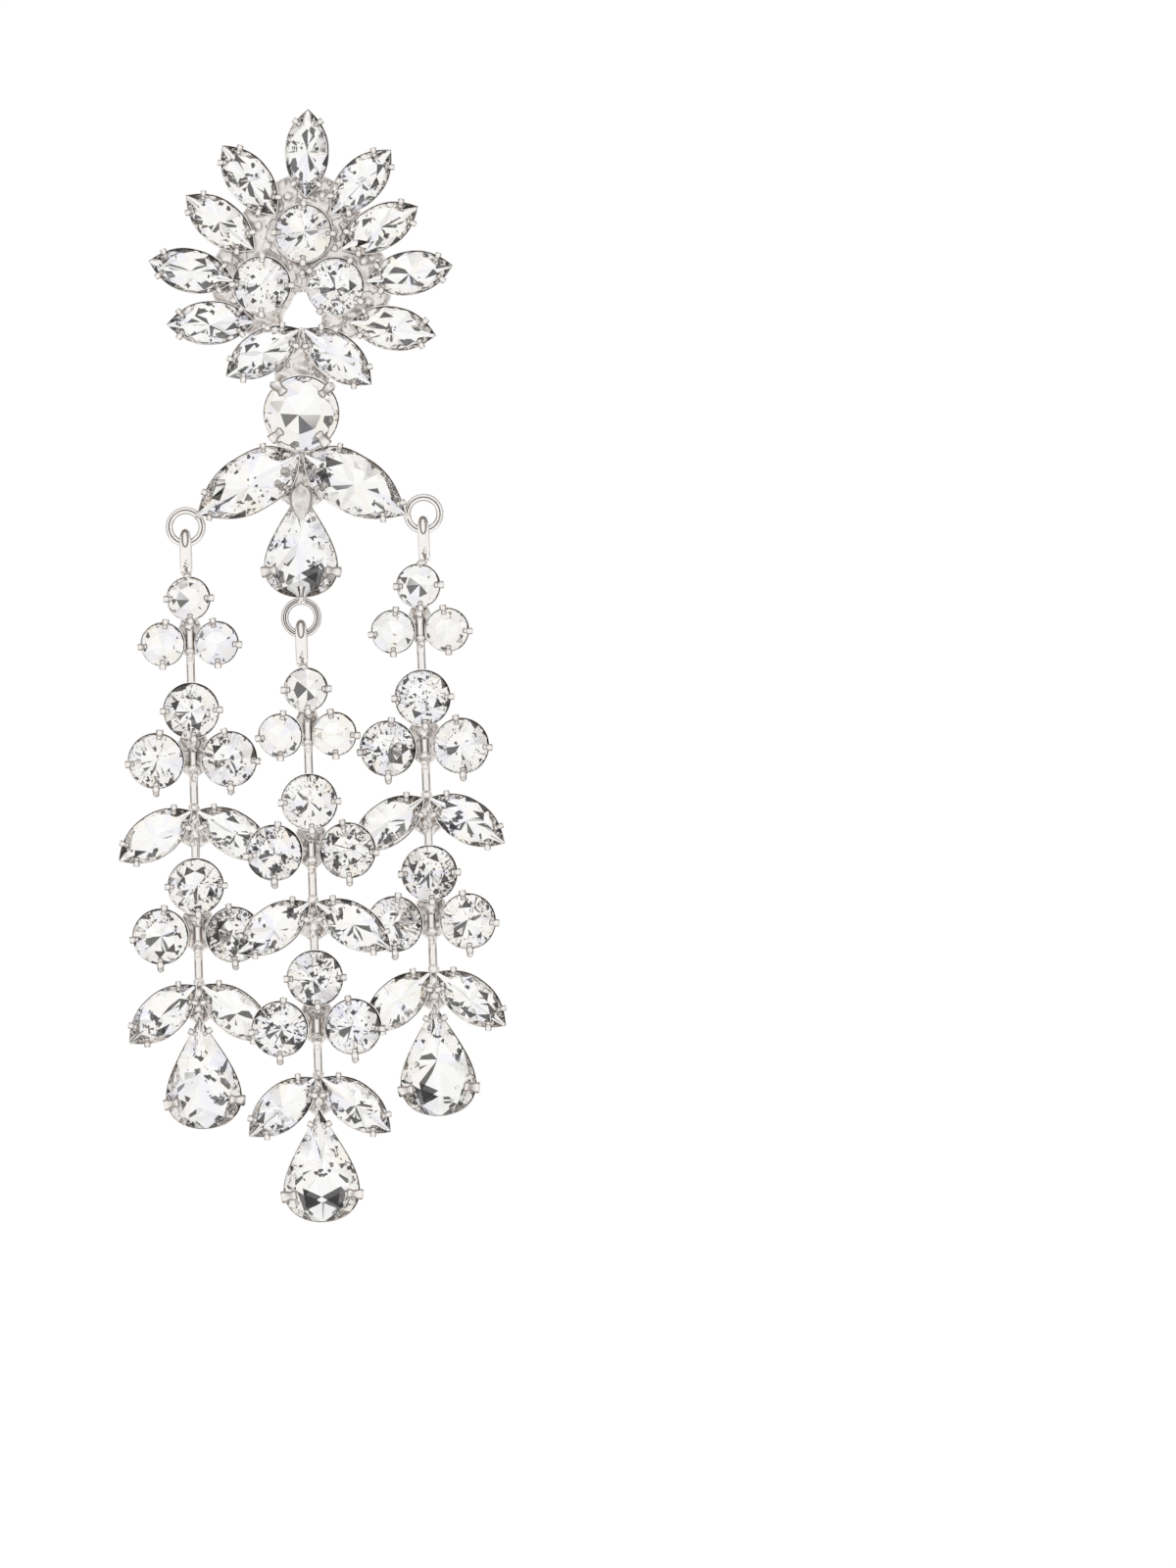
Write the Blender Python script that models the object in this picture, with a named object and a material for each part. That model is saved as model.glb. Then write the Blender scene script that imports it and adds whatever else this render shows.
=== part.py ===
"""Chandelier earring: a rosette of navette stones, a round connector, two wings and a pear, with three long drops.

Metres, +Z up. The earring faces -Y, and "front" below is a distance towards -Y. The origin is the middle of the
back of the ear pad, where the earring sits on the lobe. Each drop hangs on a ring and swings about the X axis
through the middle of the ring's lowest wire.
"""

import math

import bmesh
import bpy
from mathutils import Matrix, Vector

MM = 0.001

# Outer sizes of the settings, rim to rim.
PETAL_LENGTH = 9.6 * MM
PETAL_WIDTH = 4.85 * MM
ROSETTE_ROUND = 6.4 * MM
CONNECTOR_ROUND = 8.3 * MM
WING_LENGTH = 12.9 * MM
WING_WIDTH = 6.4 * MM
TOP_PEAR_LENGTH = 12.2 * MM
TOP_PEAR_WIDTH = 8.1 * MM
SMALL_ROUND = 4.9 * MM
LARGE_ROUND = 6.2 * MM
DROP_NAVETTE_LENGTH = 9.7 * MM
DROP_NAVETTE_WIDTH = 4.85 * MM
DROP_PEAR_LENGTH = 12.6 * MM
DROP_PEAR_WIDTH = 8.3 * MM

# The section of a cup and its stone. Shares are of the setting's width.
WALL = 0.25 * MM
STONE_GAP = 0.08 * MM
RIM_STEP = 0.1 * MM
GIRDLE = 0.25 * MM
SEAT_FLOOR = 0.45 * MM
POCKET_MOUTH = 0.03 * MM
CROWN_SHARE = 0.15
PAVILION_SHARE = 0.30
TABLE_SHARE = 0.56
CUP_BACK_SHARE = 0.74

# Claws: how far one stands out of the wall, reaches over the stone and starts below the rim, how high its
# shoulder is, and its tip's clearance over the crown.
CLAW_PROUD = 0.15 * MM
CLAW_REACH = 0.75 * MM
CLAW_HEEL = 0.3 * MM
CLAW_SHOULDER = 0.3 * MM
CLAW_CLEARANCE = 0.15 * MM
CLAW_WIDTH = 0.65 * MM
TAB_WIDTH = 1.15 * MM

# The top, from the ear pad forwards and from the rosette downwards.
PAD_RADIUS = 2.6 * MM
PAD_THICKNESS = 0.7 * MM
PIECE_GAP = 0.1 * MM
PIN_RADIUS = 0.45 * MM
PIN_LENGTH = 11.0 * MM
WEB_THICKNESS = 1.2 * MM
ROSETTE_RADIUS = 7.2 * MM
ROSETTE_HOLE = 1.6 * MM
NECK_LENGTH = 5.05 * MM
JOIN_STEP = 0.15 * MM
WING_DROOP = 30.6
PEAR_NOTCH = 3.35 * MM
PEAR_RAISE = 1.0 * MM

# Hanging rings and the bails on them.
RING_RADIUS = 1.77 * MM
RING_WIRE = 0.78 * MM
RING_SETBACK = 0.55 * MM
SIDE_RING_FRONT = 0.95 * MM
LUG_RADIUS = 0.4 * MM
BAIL_WIDTH = 1.3 * MM
BAIL_STRIP = 0.5 * MM
BAIL_PLAY = 0.22 * MM

# A drop, from its pivot downwards.
BAIL_REACH = 3.5 * MM
SMALL_PAIR_GAP = 0.9 * MM
LARGE_PAIR_GAP = 1.65 * MM
SMALL_TRIO_GAP = 0.75 * MM
LARGE_TRIO_GAP = 0.4 * MM
UPPER_STEM = 1.65 * MM
MIDDLE_STEM = 2.25 * MM
LOWER_STEM = 2.15 * MM
TRIO_NECK = 5.1 * MM
PEAR_HANG = 3.0 * MM
NAVETTE_STEP = 0.2 * MM
UPPER_DROOP = 33.5
LOWER_DROOP = 39.8
STEM_RADIUS = 0.45 * MM
DROP_BACK = 1.53 * MM
DROP_WEB = 1.4 * MM

# Corners of an outline. A stone's table has half as many, so both are even.
SMALL_CORNERS = 12
LARGE_CORNERS = 16
WIRE_SIDES = 6
RING_SIDES = 14
BAIL_SIDES = 12
HOLE_SIDES = 10

WEB_BACK = PAD_THICKNESS + PIECE_GAP

# Each petal: its inner tip as shares of ROSETTE_RADIUS across and up, and its axis in degrees from +X.
PETALS = (
    {"across": 0.06, "up": 0.945, "axis": 88.5},
    {"across": -0.376, "up": 0.676, "axis": 127.5},
    {"across": -0.694, "up": 0.157, "axis": 141.4},
    {"across": -0.997, "up": -0.296, "axis": 167.0},
    {"across": -0.694, "up": -0.90, "axis": 182.0},
    {"across": -0.02, "up": -1.0, "axis": 212.9},
    {"across": 0.02, "up": -1.0, "axis": 320.5},
    {"across": 0.696, "up": -0.90, "axis": 351.0},
    {"across": 0.95, "up": -0.296, "axis": 10.1},
    {"across": 0.579, "up": 0.174, "axis": 29.0},
    {"across": 0.429, "up": 0.694, "axis": 47.0},
)
# The web reaches down to the connector between this petal and the next.
LOWEST_PETAL = 6

# The three round stones inside the petals, as shares of ROSETTE_RADIUS, and the turn of their claws.
ROSETTE_CENTRES = (
    {"across": 0.026, "up": 0.41, "turn": 0.0},
    {"across": -0.593, "up": -0.363, "turn": 10.0},
    {"across": 0.497, "up": -0.38, "turn": -20.0},
)
HOLE_DROP_SHARE = -0.76

# Each drop: the bearing of its ring from what carries it, and how its chain steps aside, leans and ends.
DROPS = (
    {"name": "left", "bearing": 222.6, "step": 0.2 * MM, "lean": 1.5, "pear_lean": 2.0},
    {"name": "centre", "bearing": 270.0, "step": 0.35 * MM, "lean": 1.8, "pear_lean": 0.3},
    {"name": "right", "bearing": 7.0, "step": -0.75 * MM, "lean": 2.2, "pear_lean": 0.8},
)


def clear_scene():
    for obj in list(bpy.data.objects):
        bpy.data.objects.remove(obj, do_unlink=True)


def metal_material(name, colour, roughness):
    material = bpy.data.materials.new(name)
    material.use_nodes = True
    shader = material.node_tree.nodes["Principled BSDF"]
    shader.inputs["Base Color"].default_value = (*colour, 1.0)
    shader.inputs["Metallic"].default_value = 1.0
    shader.inputs["Roughness"].default_value = roughness
    return material


def stone_material(name):
    material = bpy.data.materials.new(name)
    material.use_nodes = True
    shader = material.node_tree.nodes["Principled BSDF"]
    shader.inputs["Base Color"].default_value = (0.93, 0.93, 0.95, 1.0)
    shader.inputs["Metallic"].default_value = 0.0
    shader.inputs["Roughness"].default_value = 0.03
    shader.inputs["IOR"].default_value = 1.57
    shader.inputs["Transmission Weight"].default_value = 0.6
    return material


def object_from(name, bm, parent=None, matrix=None, collection=None):
    """An object of this mesh. matrix is its place under its parent. In a collection it is a hidden helper."""
    bmesh.ops.recalc_face_normals(bm, faces=bm.faces)
    mesh = bpy.data.meshes.new(name)
    bm.to_mesh(mesh)
    bm.free()
    obj = bpy.data.objects.new(name, mesh)
    if collection is None:
        bpy.context.scene.collection.objects.link(obj)
    else:
        collection.objects.link(obj)
        obj.hide_render = True
        obj.display_type = "WIRE"
    obj.parent = parent
    if matrix is not None:
        obj.matrix_local = matrix
    return obj


def facing(across, up, front, turn=0.0):
    """A frame on the face of the earring: local X along the turn, local Z towards the front."""
    angle = math.radians(turn)
    along = Vector((math.cos(angle), 0.0, math.sin(angle)))
    beside = Vector((-math.sin(angle), 0.0, math.cos(angle)))
    out = Vector((0.0, -1.0, 0.0))
    frame = Matrix((along, beside, out)).transposed().to_4x4()
    frame.translation = Vector((across, -front, up))
    return frame


def ahead(frame, distance):
    """The point on the face at this distance along a frame's local X, as across and up."""
    point = frame @ Vector((distance, 0.0, 0.0))
    return point.x, point.z


def round_outline(length, width, corners):
    """A circle with the middle of a side towards each axis."""
    turns = [2 * math.pi * (step + 0.5) / corners for step in range(corners)]
    return [(length / 2 * math.cos(turn), width / 2 * math.sin(turn)) for turn in turns]


def navette_outline(length, width, corners):
    """Two equal arcs that meet in a point at each end."""
    half_length = length / 2
    half_width = width / 2
    radius = (half_length**2 + half_width**2) / (2 * half_width)
    reach = math.asin(half_length / radius)
    steps = corners // 2
    outline = []
    for side in (1, -1):
        for step in range(steps):
            angle = reach * (1 - 2 * step / steps)
            rise = radius * math.cos(angle) - (radius - half_width)
            outline.append((side * radius * math.sin(angle), side * rise))
    return outline


def pear_outline(length, width, corners):
    """A drop with its point at +X: half the length times cos t, by half the width times sin t sin(t/2), widened."""
    widest = 4 / (3 * math.sqrt(3))
    outline = []
    for step in range(corners):
        turn = 2 * math.pi * step / corners
        rise = math.sin(turn) * math.sin(turn / 2) / widest
        outline.append((length / 2 * math.cos(turn), width / 2 * rise))
    return outline


OUTLINES = {"round": round_outline, "navette": navette_outline, "pear": pear_outline}
# Where the claws are, as shares of the way round. Each stands on the middle of the side that it falls on.
CLAWS = {
    "round": (0.22, 0.47, 0.72, 0.97),
    "trio round": (0.22, 0.55, 0.89),
    "navette": (0.1, 0.4, 0.6, 0.9),
    "pear": (0.1, 0.34, 0.66, 0.9),
}


def corner_normals(outline):
    """Each corner's outward direction, and how far it moves out when the sides move out by one."""
    normals = []
    count = len(outline)
    for index in range(count):
        before = Vector(outline[index]) - Vector(outline[index - 1])
        after = Vector(outline[(index + 1) % count]) - Vector(outline[index])
        first = Vector((before.y, -before.x)).normalized()
        second = Vector((after.y, -after.x)).normalized()
        normal = (first + second).normalized()
        normals.append((normal, 1 / normal.dot(first)))
    return normals


def inset(outline, distance):
    """The outline with every side moved inwards by the distance."""
    moved = []
    for point, (normal, mitre) in zip(outline, corner_normals(outline)):
        corner = Vector(point) - normal * distance * mitre
        moved.append((corner.x, corner.y))
    return moved


def ring_of(bm, outline, height, share=1.0):
    return [bm.verts.new((x * share, y * share, height)) for x, y in outline]


def bridge(bm, lower, upper):
    count = len(lower)
    for index in range(count):
        after = (index + 1) % count
        bm.faces.new((lower[index], lower[after], upper[after], upper[index]))


def crown_facets(bm, girdle, outline, height):
    """A kite at every second corner of the girdle, a star facet between them, and the table."""
    table = ring_of(bm, outline[::2], height, TABLE_SHARE)
    for index in range(0, len(girdle), 2):
        corner = table[index // 2]
        after = table[(index // 2 + 1) % len(table)]
        bm.faces.new((corner, girdle[index - 1], girdle[index]))
        bm.faces.new((corner, girdle[index], girdle[index + 1]))
        bm.faces.new((corner, girdle[index + 1], after))
    bm.faces.new(table)


class Seat:
    """A stone and its cup. Heights are from the cup's rim, and the rim lies on the local XY plane."""

    def __init__(self, shape, length, width, corners, claws=None):
        self.claws = CLAWS[claws or shape]
        self.width = width
        self.outline = OUTLINES[shape](length, width, corners)
        self.crown = CROWN_SHARE * width
        self.pavilion = PAVILION_SHARE * width
        self.depth = RIM_STEP + GIRDLE + self.pavilion + SEAT_FLOOR

    def pavilion_and_girdle(self, bm, outline, gap, girdle_top):
        """The lower half of a stone, down to its point. A gap makes it that much larger."""
        low_height = -RIM_STEP - GIRDLE - gap
        low = ring_of(bm, outline, low_height)
        high = ring_of(bm, outline, girdle_top)
        culet = bm.verts.new((0.0, 0.0, low_height - self.pavilion - gap))
        bridge(bm, low, high)
        for index in range(len(low)):
            bm.faces.new((culet, low[(index + 1) % len(low)], low[index]))
        return high

    def stone(self):
        """The cut stone: a table, star and kite facets, a girdle and a pavilion."""
        bm = bmesh.new()
        outline = inset(self.outline, WALL + STONE_GAP)
        girdle = self.pavilion_and_girdle(bm, outline, 0.0, -RIM_STEP)
        crown_facets(bm, girdle, outline, self.crown)
        return bm

    def pocket(self):
        """What the stone's seat is cut with, open at the rim."""
        bm = bmesh.new()
        mouth = self.pavilion_and_girdle(bm, inset(self.outline, WALL), STONE_GAP, POCKET_MOUTH)
        bm.faces.new(mouth)
        return bm

    def cup(self, filled=False):
        """The cup as a solid block. Filled, its stone's crown stands on the rim in one with it."""
        bm = bmesh.new()
        back = ring_of(bm, self.outline, -self.depth, CUP_BACK_SHARE)
        rim = ring_of(bm, self.outline, 0.0)
        bridge(bm, back, rim)
        bm.faces.new(back[::-1])
        if not filled:
            bm.faces.new(rim)
            return bm
        girdle_outline = inset(self.outline, WALL + STONE_GAP)
        girdle = ring_of(bm, girdle_outline, 0.0)
        bridge(bm, rim, girdle)
        crown_facets(bm, girdle, girdle_outline, self.crown)
        return bm

    def claw(self, share, width):
        """One claw at this share of the way round: it stands on the wall and bends in over the stone."""
        index = int(share * len(self.outline))
        start = Vector(self.outline[index])
        end = Vector(self.outline[(index + 1) % len(self.outline)])
        foot = (start + end) / 2
        side = (end - start).normalized() * width / 2
        normal = Vector((side.y, -side.x)).normalized()
        slope = (self.crown + RIM_STEP) / ((self.width / 2 - WALL) * (1 - TABLE_SHARE))
        profile = (
            (CLAW_PROUD, -CLAW_HEEL),
            (CLAW_PROUD, CLAW_SHOULDER),
            (-CLAW_REACH, slope * (CLAW_REACH - WALL) + CLAW_CLEARANCE),
        )
        bm = bmesh.new()
        ends = []
        for hand in (-1, 1):
            corners = []
            for out, height in profile:
                place = foot + normal * out + side * hand
                corners.append(bm.verts.new((place.x, place.y, height)))
            ends.append(corners)
        bridge(bm, ends[0], ends[1])
        bm.faces.new(ends[0][::-1])
        bm.faces.new(ends[1])
        return bm


class Frame:
    """A soldered metal frame: shapes that are joined, less the pockets of its loose stones."""

    def __init__(self, name, parent=None):
        self.name = name
        self.parent = parent
        self.metal = self.helpers("metal")
        self.pockets = self.helpers("pockets")

    def helpers(self, kind):
        collection = bpy.data.collections.new(f"{self.name}_{kind}")
        bpy.context.scene.collection.children.link(collection)
        return collection

    def add(self, bm, matrix=None):
        object_from(f"{self.name}_piece", bm, self.parent, matrix, self.metal)

    def cut(self, bm, matrix=None):
        object_from(f"{self.name}_pocket", bm, self.parent, matrix, self.pockets)

    def add_claws(self, seat, matrix, claw_width=CLAW_WIDTH):
        for share in seat.claws:
            self.add(seat.claw(share, claw_width), matrix)

    def set_stone(self, seat, matrix, name, claw_width=CLAW_WIDTH):
        """A cup with a stone that is an object of its own."""
        self.add(seat.cup(), matrix)
        self.add_claws(seat, matrix, claw_width)
        self.cut(seat.pocket(), matrix)
        stone = object_from(name, seat.stone(), self.parent, matrix)
        stone.data.materials.append(STONE)

    def fuse_stone(self, seat, matrix):
        """A cup with its stone in one with it."""
        self.add(seat.cup(filled=True), matrix)
        self.add_claws(seat, matrix)

    def finish(self, bm, matrix=None):
        """The frame's own object: this first shape, joined with the rest."""
        frame = object_from(self.name, bm, self.parent, matrix)
        frame.data.materials.append(METAL)
        for operation, collection in (("UNION", self.metal), ("DIFFERENCE", self.pockets)):
            boolean = frame.modifiers.new(operation.title(), "BOOLEAN")
            boolean.operation = operation
            boolean.solver = "EXACT"
            boolean.operand_type = "COLLECTION"
            boolean.collection = collection
        return frame


def plate(corners, back, thickness):
    """A flat plate with these corners, as across and up, from back to front."""
    bm = bmesh.new()
    ends = []
    for front in (back, back + thickness):
        ends.append([bm.verts.new((across, -front, up)) for across, up in corners])
    bridge(bm, ends[0], ends[1])
    bm.faces.new(ends[0][::-1])
    bm.faces.new(ends[1])
    return bm


def rod(start, end, radius, sides=WIRE_SIDES):
    """A straight round bar between two points, each given as across, up and front."""
    first = Vector((start[0], -start[2], start[1]))
    last = Vector((end[0], -end[2], end[1]))
    run = last - first
    bm = bmesh.new()
    bmesh.ops.create_cone(
        bm, cap_ends=True, segments=sides, radius1=radius, radius2=radius, depth=run.length
    )
    turn = run.to_track_quat("Z", "Y").to_matrix().to_4x4()
    bmesh.ops.transform(bm, matrix=Matrix.Translation((first + last) / 2) @ turn, verts=bm.verts)
    return bm


def hanging_ring(across, up, front):
    """A round wire ring that faces the front, with a side of its wire towards the bail."""
    bm = bmesh.new()
    rings = []
    for step in range(RING_SIDES):
        turn = 2 * math.pi * step / RING_SIDES
        ring = []
        for side in range(WIRE_SIDES):
            roll = 2 * math.pi * side / WIRE_SIDES
            reach = RING_RADIUS + RING_WIRE / 2 * math.cos(roll)
            place = (
                across + reach * math.sin(turn),
                -front + RING_WIRE / 2 * math.sin(roll),
                up - reach * math.cos(turn),
            )
            ring.append(bm.verts.new(place))
        rings.append(ring)
    for step in range(RING_SIDES):
        bridge(bm, rings[step], rings[(step + 1) % RING_SIDES])
    return bm


def bail():
    """An oblong loop of flat strip, edge on to the front, hung over the ring's wire at the local origin."""
    ring_rise = RING_RADIUS - math.sqrt(RING_RADIUS**2 - (BAIL_WIDTH / 2) ** 2)
    inner_top = RING_WIRE / 2 + ring_rise + BAIL_PLAY
    inner_depth = RING_WIRE / 2 + BAIL_PLAY
    inner_low = -(BAIL_REACH - BAIL_STRIP)
    bm = bmesh.new()
    loops = []
    for grow, side in ((0.0, -1), (BAIL_STRIP, -1), (BAIL_STRIP, 1), (0.0, 1)):
        loop = []
        for step in range(BAIL_SIDES):
            turn = 2 * math.pi * (step + 0.5) / BAIL_SIDES
            end = inner_top - inner_depth if math.sin(turn) > 0 else inner_low + inner_depth
            depth = (inner_depth + grow) * math.cos(turn)
            height = end + (inner_depth + grow) * math.sin(turn)
            loop.append(bm.verts.new((side * BAIL_WIDTH / 2, depth, height)))
        loops.append(loop)
    for index in range(len(loops)):
        bridge(bm, loops[index], loops[(index + 1) % len(loops)])
    return bm


def ear_post():
    """The plain pad and pin behind the rosette, in one piece."""
    bm = bmesh.new()
    sides = LARGE_CORNERS
    rings = []
    for radius, front in (
        (PAD_RADIUS, PAD_THICKNESS),
        (PAD_RADIUS, 0.0),
        (PIN_RADIUS, 0.0),
        (PIN_RADIUS, PIN_RADIUS - PIN_LENGTH),
        (PIN_RADIUS / 2, -PIN_LENGTH),
    ):
        outline = round_outline(2 * radius, 2 * radius, sides)
        rings.append([bm.verts.new((x, -front, z)) for x, z in outline])
    for first, second in zip(rings, rings[1:]):
        bridge(bm, first, second)
    bm.faces.new(rings[0][::-1])
    bm.faces.new(rings[-1])
    post = object_from("ear_post", bm)
    post.data.shade_smooth()
    post.data.set_sharp_from_angle(angle=math.radians(35))
    post.data.materials.append(STEEL)


def hang_ring(frame, lug_start, tip, bearing, ring_front):
    """A ring on its lug. tip is where its wire meets what carries it. Returns the ring's lowest wire."""
    angle = math.radians(bearing)
    across = tip[0] + RING_RADIUS * math.cos(angle)
    up = tip[1] + RING_RADIUS * math.sin(angle)
    frame.add(hanging_ring(across, up, ring_front))
    frame.add(rod((*lug_start, ring_front), (*tip, ring_front), LUG_RADIUS))
    return across, up - RING_RADIUS, ring_front


def top_setting():
    """The rosette, connector, wings and pear. Returns each drop's pivot as across, up and front."""
    frame = Frame("top_setting")
    petal = Seat("navette", PETAL_LENGTH, PETAL_WIDTH, SMALL_CORNERS)
    web = []
    for number, row in enumerate(PETALS, 1):
        tip = facing(row["across"] * ROSETTE_RADIUS, row["up"] * ROSETTE_RADIUS, 0.0, row["axis"])
        middle = ahead(tip, PETAL_LENGTH / 2)
        place = facing(*middle, WEB_BACK + petal.depth, row["axis"])
        frame.set_stone(petal, place, f"petal_stone_{number:02d}")
        web.append(middle)

    rosette_round = Seat("round", ROSETTE_ROUND, ROSETTE_ROUND, SMALL_CORNERS)
    for number, row in enumerate(ROSETTE_CENTRES, 1):
        across = row["across"] * ROSETTE_RADIUS
        up = row["up"] * ROSETTE_RADIUS
        place = facing(across, up, WEB_BACK + rosette_round.depth, row["turn"])
        frame.set_stone(rosette_round, place, f"rosette_stone_{number}")

    connector = Seat("round", CONNECTOR_ROUND, CONNECTOR_ROUND, LARGE_CORNERS)
    connector_up = -(ROSETTE_RADIUS + NECK_LENGTH + CONNECTOR_ROUND / 2)
    place = facing(0.0, connector_up, WEB_BACK + connector.depth, 45.0)
    frame.set_stone(connector, place, "connector_stone", TAB_WIDTH)
    shoulder = CONNECTOR_ROUND * 0.35
    web[LOWEST_PETAL:LOWEST_PETAL] = [
        (-shoulder, connector_up + shoulder / 2),
        (shoulder, connector_up + shoulder / 2),
    ]

    wing = Seat("navette", WING_LENGTH, WING_WIDTH, LARGE_CORNERS)
    wing_tip_up = connector_up - CONNECTOR_ROUND / 2 - JOIN_STEP
    wing_frames = {}
    for name, side, axis in (("left", -1, 180 + WING_DROOP), ("right", 1, -WING_DROOP)):
        tip = facing(side * JOIN_STEP, wing_tip_up, 0.0, axis)
        wing_frames[name] = tip
        place = facing(*ahead(tip, WING_LENGTH / 2), WEB_BACK + wing.depth, axis)
        frame.set_stone(wing, place, f"wing_stone_{name}")

    pear = Seat("pear", TOP_PEAR_LENGTH, TOP_PEAR_WIDTH, LARGE_CORNERS)
    pear_tip_up = wing_tip_up - PEAR_NOTCH
    pear_rim = WEB_BACK + PEAR_RAISE + pear.depth
    place = facing(0.0, pear_tip_up - TOP_PEAR_LENGTH / 2, pear_rim, 90.0)
    frame.set_stone(pear, place, "top_pear_stone")

    wing_hold = 0.45 * WING_LENGTH
    frame.add(
        plate(
            [
                (0.0, connector_up),
                ahead(wing_frames["left"], wing_hold),
                (0.0, pear_tip_up - TOP_PEAR_LENGTH / 4),
                ahead(wing_frames["right"], wing_hold),
            ],
            WEB_BACK,
            WEB_THICKNESS,
        )
    )

    pivots = {}
    for row in DROPS:
        if row["name"] in wing_frames:
            tip = wing_frames[row["name"]]
            start = ahead(tip, 0.8 * WING_LENGTH)
            end = ahead(tip, WING_LENGTH)
            ring_front = SIDE_RING_FRONT
        else:
            low = pear_tip_up - TOP_PEAR_LENGTH
            start = (0.0, low + TOP_PEAR_WIDTH / 6)
            end = (0.0, low - RING_WIRE / 3)
            ring_front = pear_rim - RING_SETBACK
        pivots[row["name"]] = hang_ring(frame, start, end, row["bearing"], ring_front)

    hole = round_outline(2 * ROSETTE_HOLE, 2 * ROSETTE_HOLE, HOLE_SIDES)
    drop = HOLE_DROP_SHARE * ROSETTE_RADIUS
    corners = [(x, z + drop) for x, z in hole]
    frame.cut(plate(corners, WEB_BACK - WEB_THICKNESS, 3 * WEB_THICKNESS))
    frame.finish(plate(web, WEB_BACK, WEB_THICKNESS))
    return pivots


def trio(frame, seat, gap_between, gap_above, across, top_up):
    """One round stone over two, with the web behind them. Returns how far below its top stone the pair lies."""
    offset = (seat.width + gap_between) / 2
    drop = math.sqrt((seat.width + gap_above) ** 2 - offset**2)
    centres = ((0.0, 0.0, 180.0), (-offset, -drop, 20.0), (offset, -drop, -20.0))
    for x, z, turn in centres:
        frame.fuse_stone(seat, facing(across + x, top_up + z, seat.depth - DROP_BACK, turn))
    web = [(across + x * 0.8, top_up + z) for x, z, turn in centres]
    frame.add(plate(web, -DROP_BACK, DROP_WEB))
    return drop


def navette_pair(frame, seat, across, tip_up, droop, names):
    """Two navettes that slope down from the stem, with the web between them."""
    hold = 0.4 * DROP_NAVETTE_LENGTH
    web = [(across, tip_up)]
    for side, axis, name in ((-1, 180 + droop, names[0]), (1, -droop, names[1])):
        tip = facing(across + side * NAVETTE_STEP, tip_up, 0.0, axis)
        middle = ahead(tip, DROP_NAVETTE_LENGTH / 2)
        frame.set_stone(seat, facing(*middle, seat.depth - DROP_BACK, axis), name)
        web.append(ahead(tip, hold))
    web.insert(2, (across, tip_up - hold))
    frame.add(plate(web, -DROP_BACK, DROP_WEB))


def drop_setting(row, pivot):
    """One drop: its bail, stem, trios, navettes and pear, in one frame that swings on its ring."""
    name = row["name"]
    across, up, front = pivot
    swing = bpy.data.objects.new(f"{name}_drop_pivot", None)
    bpy.context.scene.collection.objects.link(swing)
    lean = Matrix.Rotation(-math.radians(row["lean"]), 4, "Y")
    swing.matrix_world = Matrix.Translation((across, -front, up)) @ lean
    frame = Frame(f"{name}_drop_setting", swing)
    step = row["step"]

    small = Seat("round", SMALL_ROUND, SMALL_ROUND, SMALL_CORNERS, "trio round")
    large = Seat("round", LARGE_ROUND, LARGE_ROUND, SMALL_CORNERS, "trio round")
    navette = Seat("navette", DROP_NAVETTE_LENGTH, DROP_NAVETTE_WIDTH, SMALL_CORNERS)
    pear = Seat("pear", DROP_PEAR_LENGTH, DROP_PEAR_WIDTH, LARGE_CORNERS)

    level = -BAIL_REACH - SMALL_ROUND / 2
    level -= trio(frame, small, SMALL_PAIR_GAP, SMALL_TRIO_GAP, step, level)
    level -= SMALL_ROUND / 2 + UPPER_STEM + LARGE_ROUND / 2
    level -= trio(frame, large, LARGE_PAIR_GAP, LARGE_TRIO_GAP, step, level)
    level -= LARGE_ROUND / 2 + MIDDLE_STEM
    names = (f"{name}_navette_upper_left", f"{name}_navette_upper_right")
    navette_pair(frame, navette, step, level, UPPER_DROOP, names)
    level -= TRIO_NECK + LARGE_ROUND / 2
    level -= trio(frame, large, LARGE_PAIR_GAP, LARGE_TRIO_GAP, step, level)
    level -= LARGE_ROUND / 2 + LOWER_STEM
    names = (f"{name}_navette_lower_left", f"{name}_navette_lower_right")
    navette_pair(frame, navette, step, level, LOWER_DROOP, names)
    pear_tip = (step, level - PEAR_HANG)

    axis = 90.0 + row["pear_lean"]
    down = facing(*pear_tip, 0.0, axis)
    place = facing(*ahead(down, -DROP_PEAR_LENGTH / 2), pear.depth - DROP_BACK, axis)
    frame.set_stone(pear, place, f"{name}_pear_stone")

    elbow = (step, -BAIL_REACH - SMALL_ROUND / 2, 0.0)
    frame.add(rod((0.0, -BAIL_REACH + BAIL_STRIP / 2, 0.0), elbow, STEM_RADIUS))
    stem_end = (*ahead(down, -DROP_PEAR_LENGTH / 5), 0.0)
    frame.add(rod(elbow, stem_end, STEM_RADIUS))
    frame.finish(bail())


clear_scene()
METAL = metal_material("silver_tone_metal", (0.78, 0.75, 0.72), 0.16)
STEEL = metal_material("post_steel", (0.70, 0.70, 0.71), 0.25)
STONE = stone_material("clear_stone")
ear_post()
pivots = top_setting()
for row in DROPS:
    drop_setting(row, pivots[row["name"]])
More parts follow.
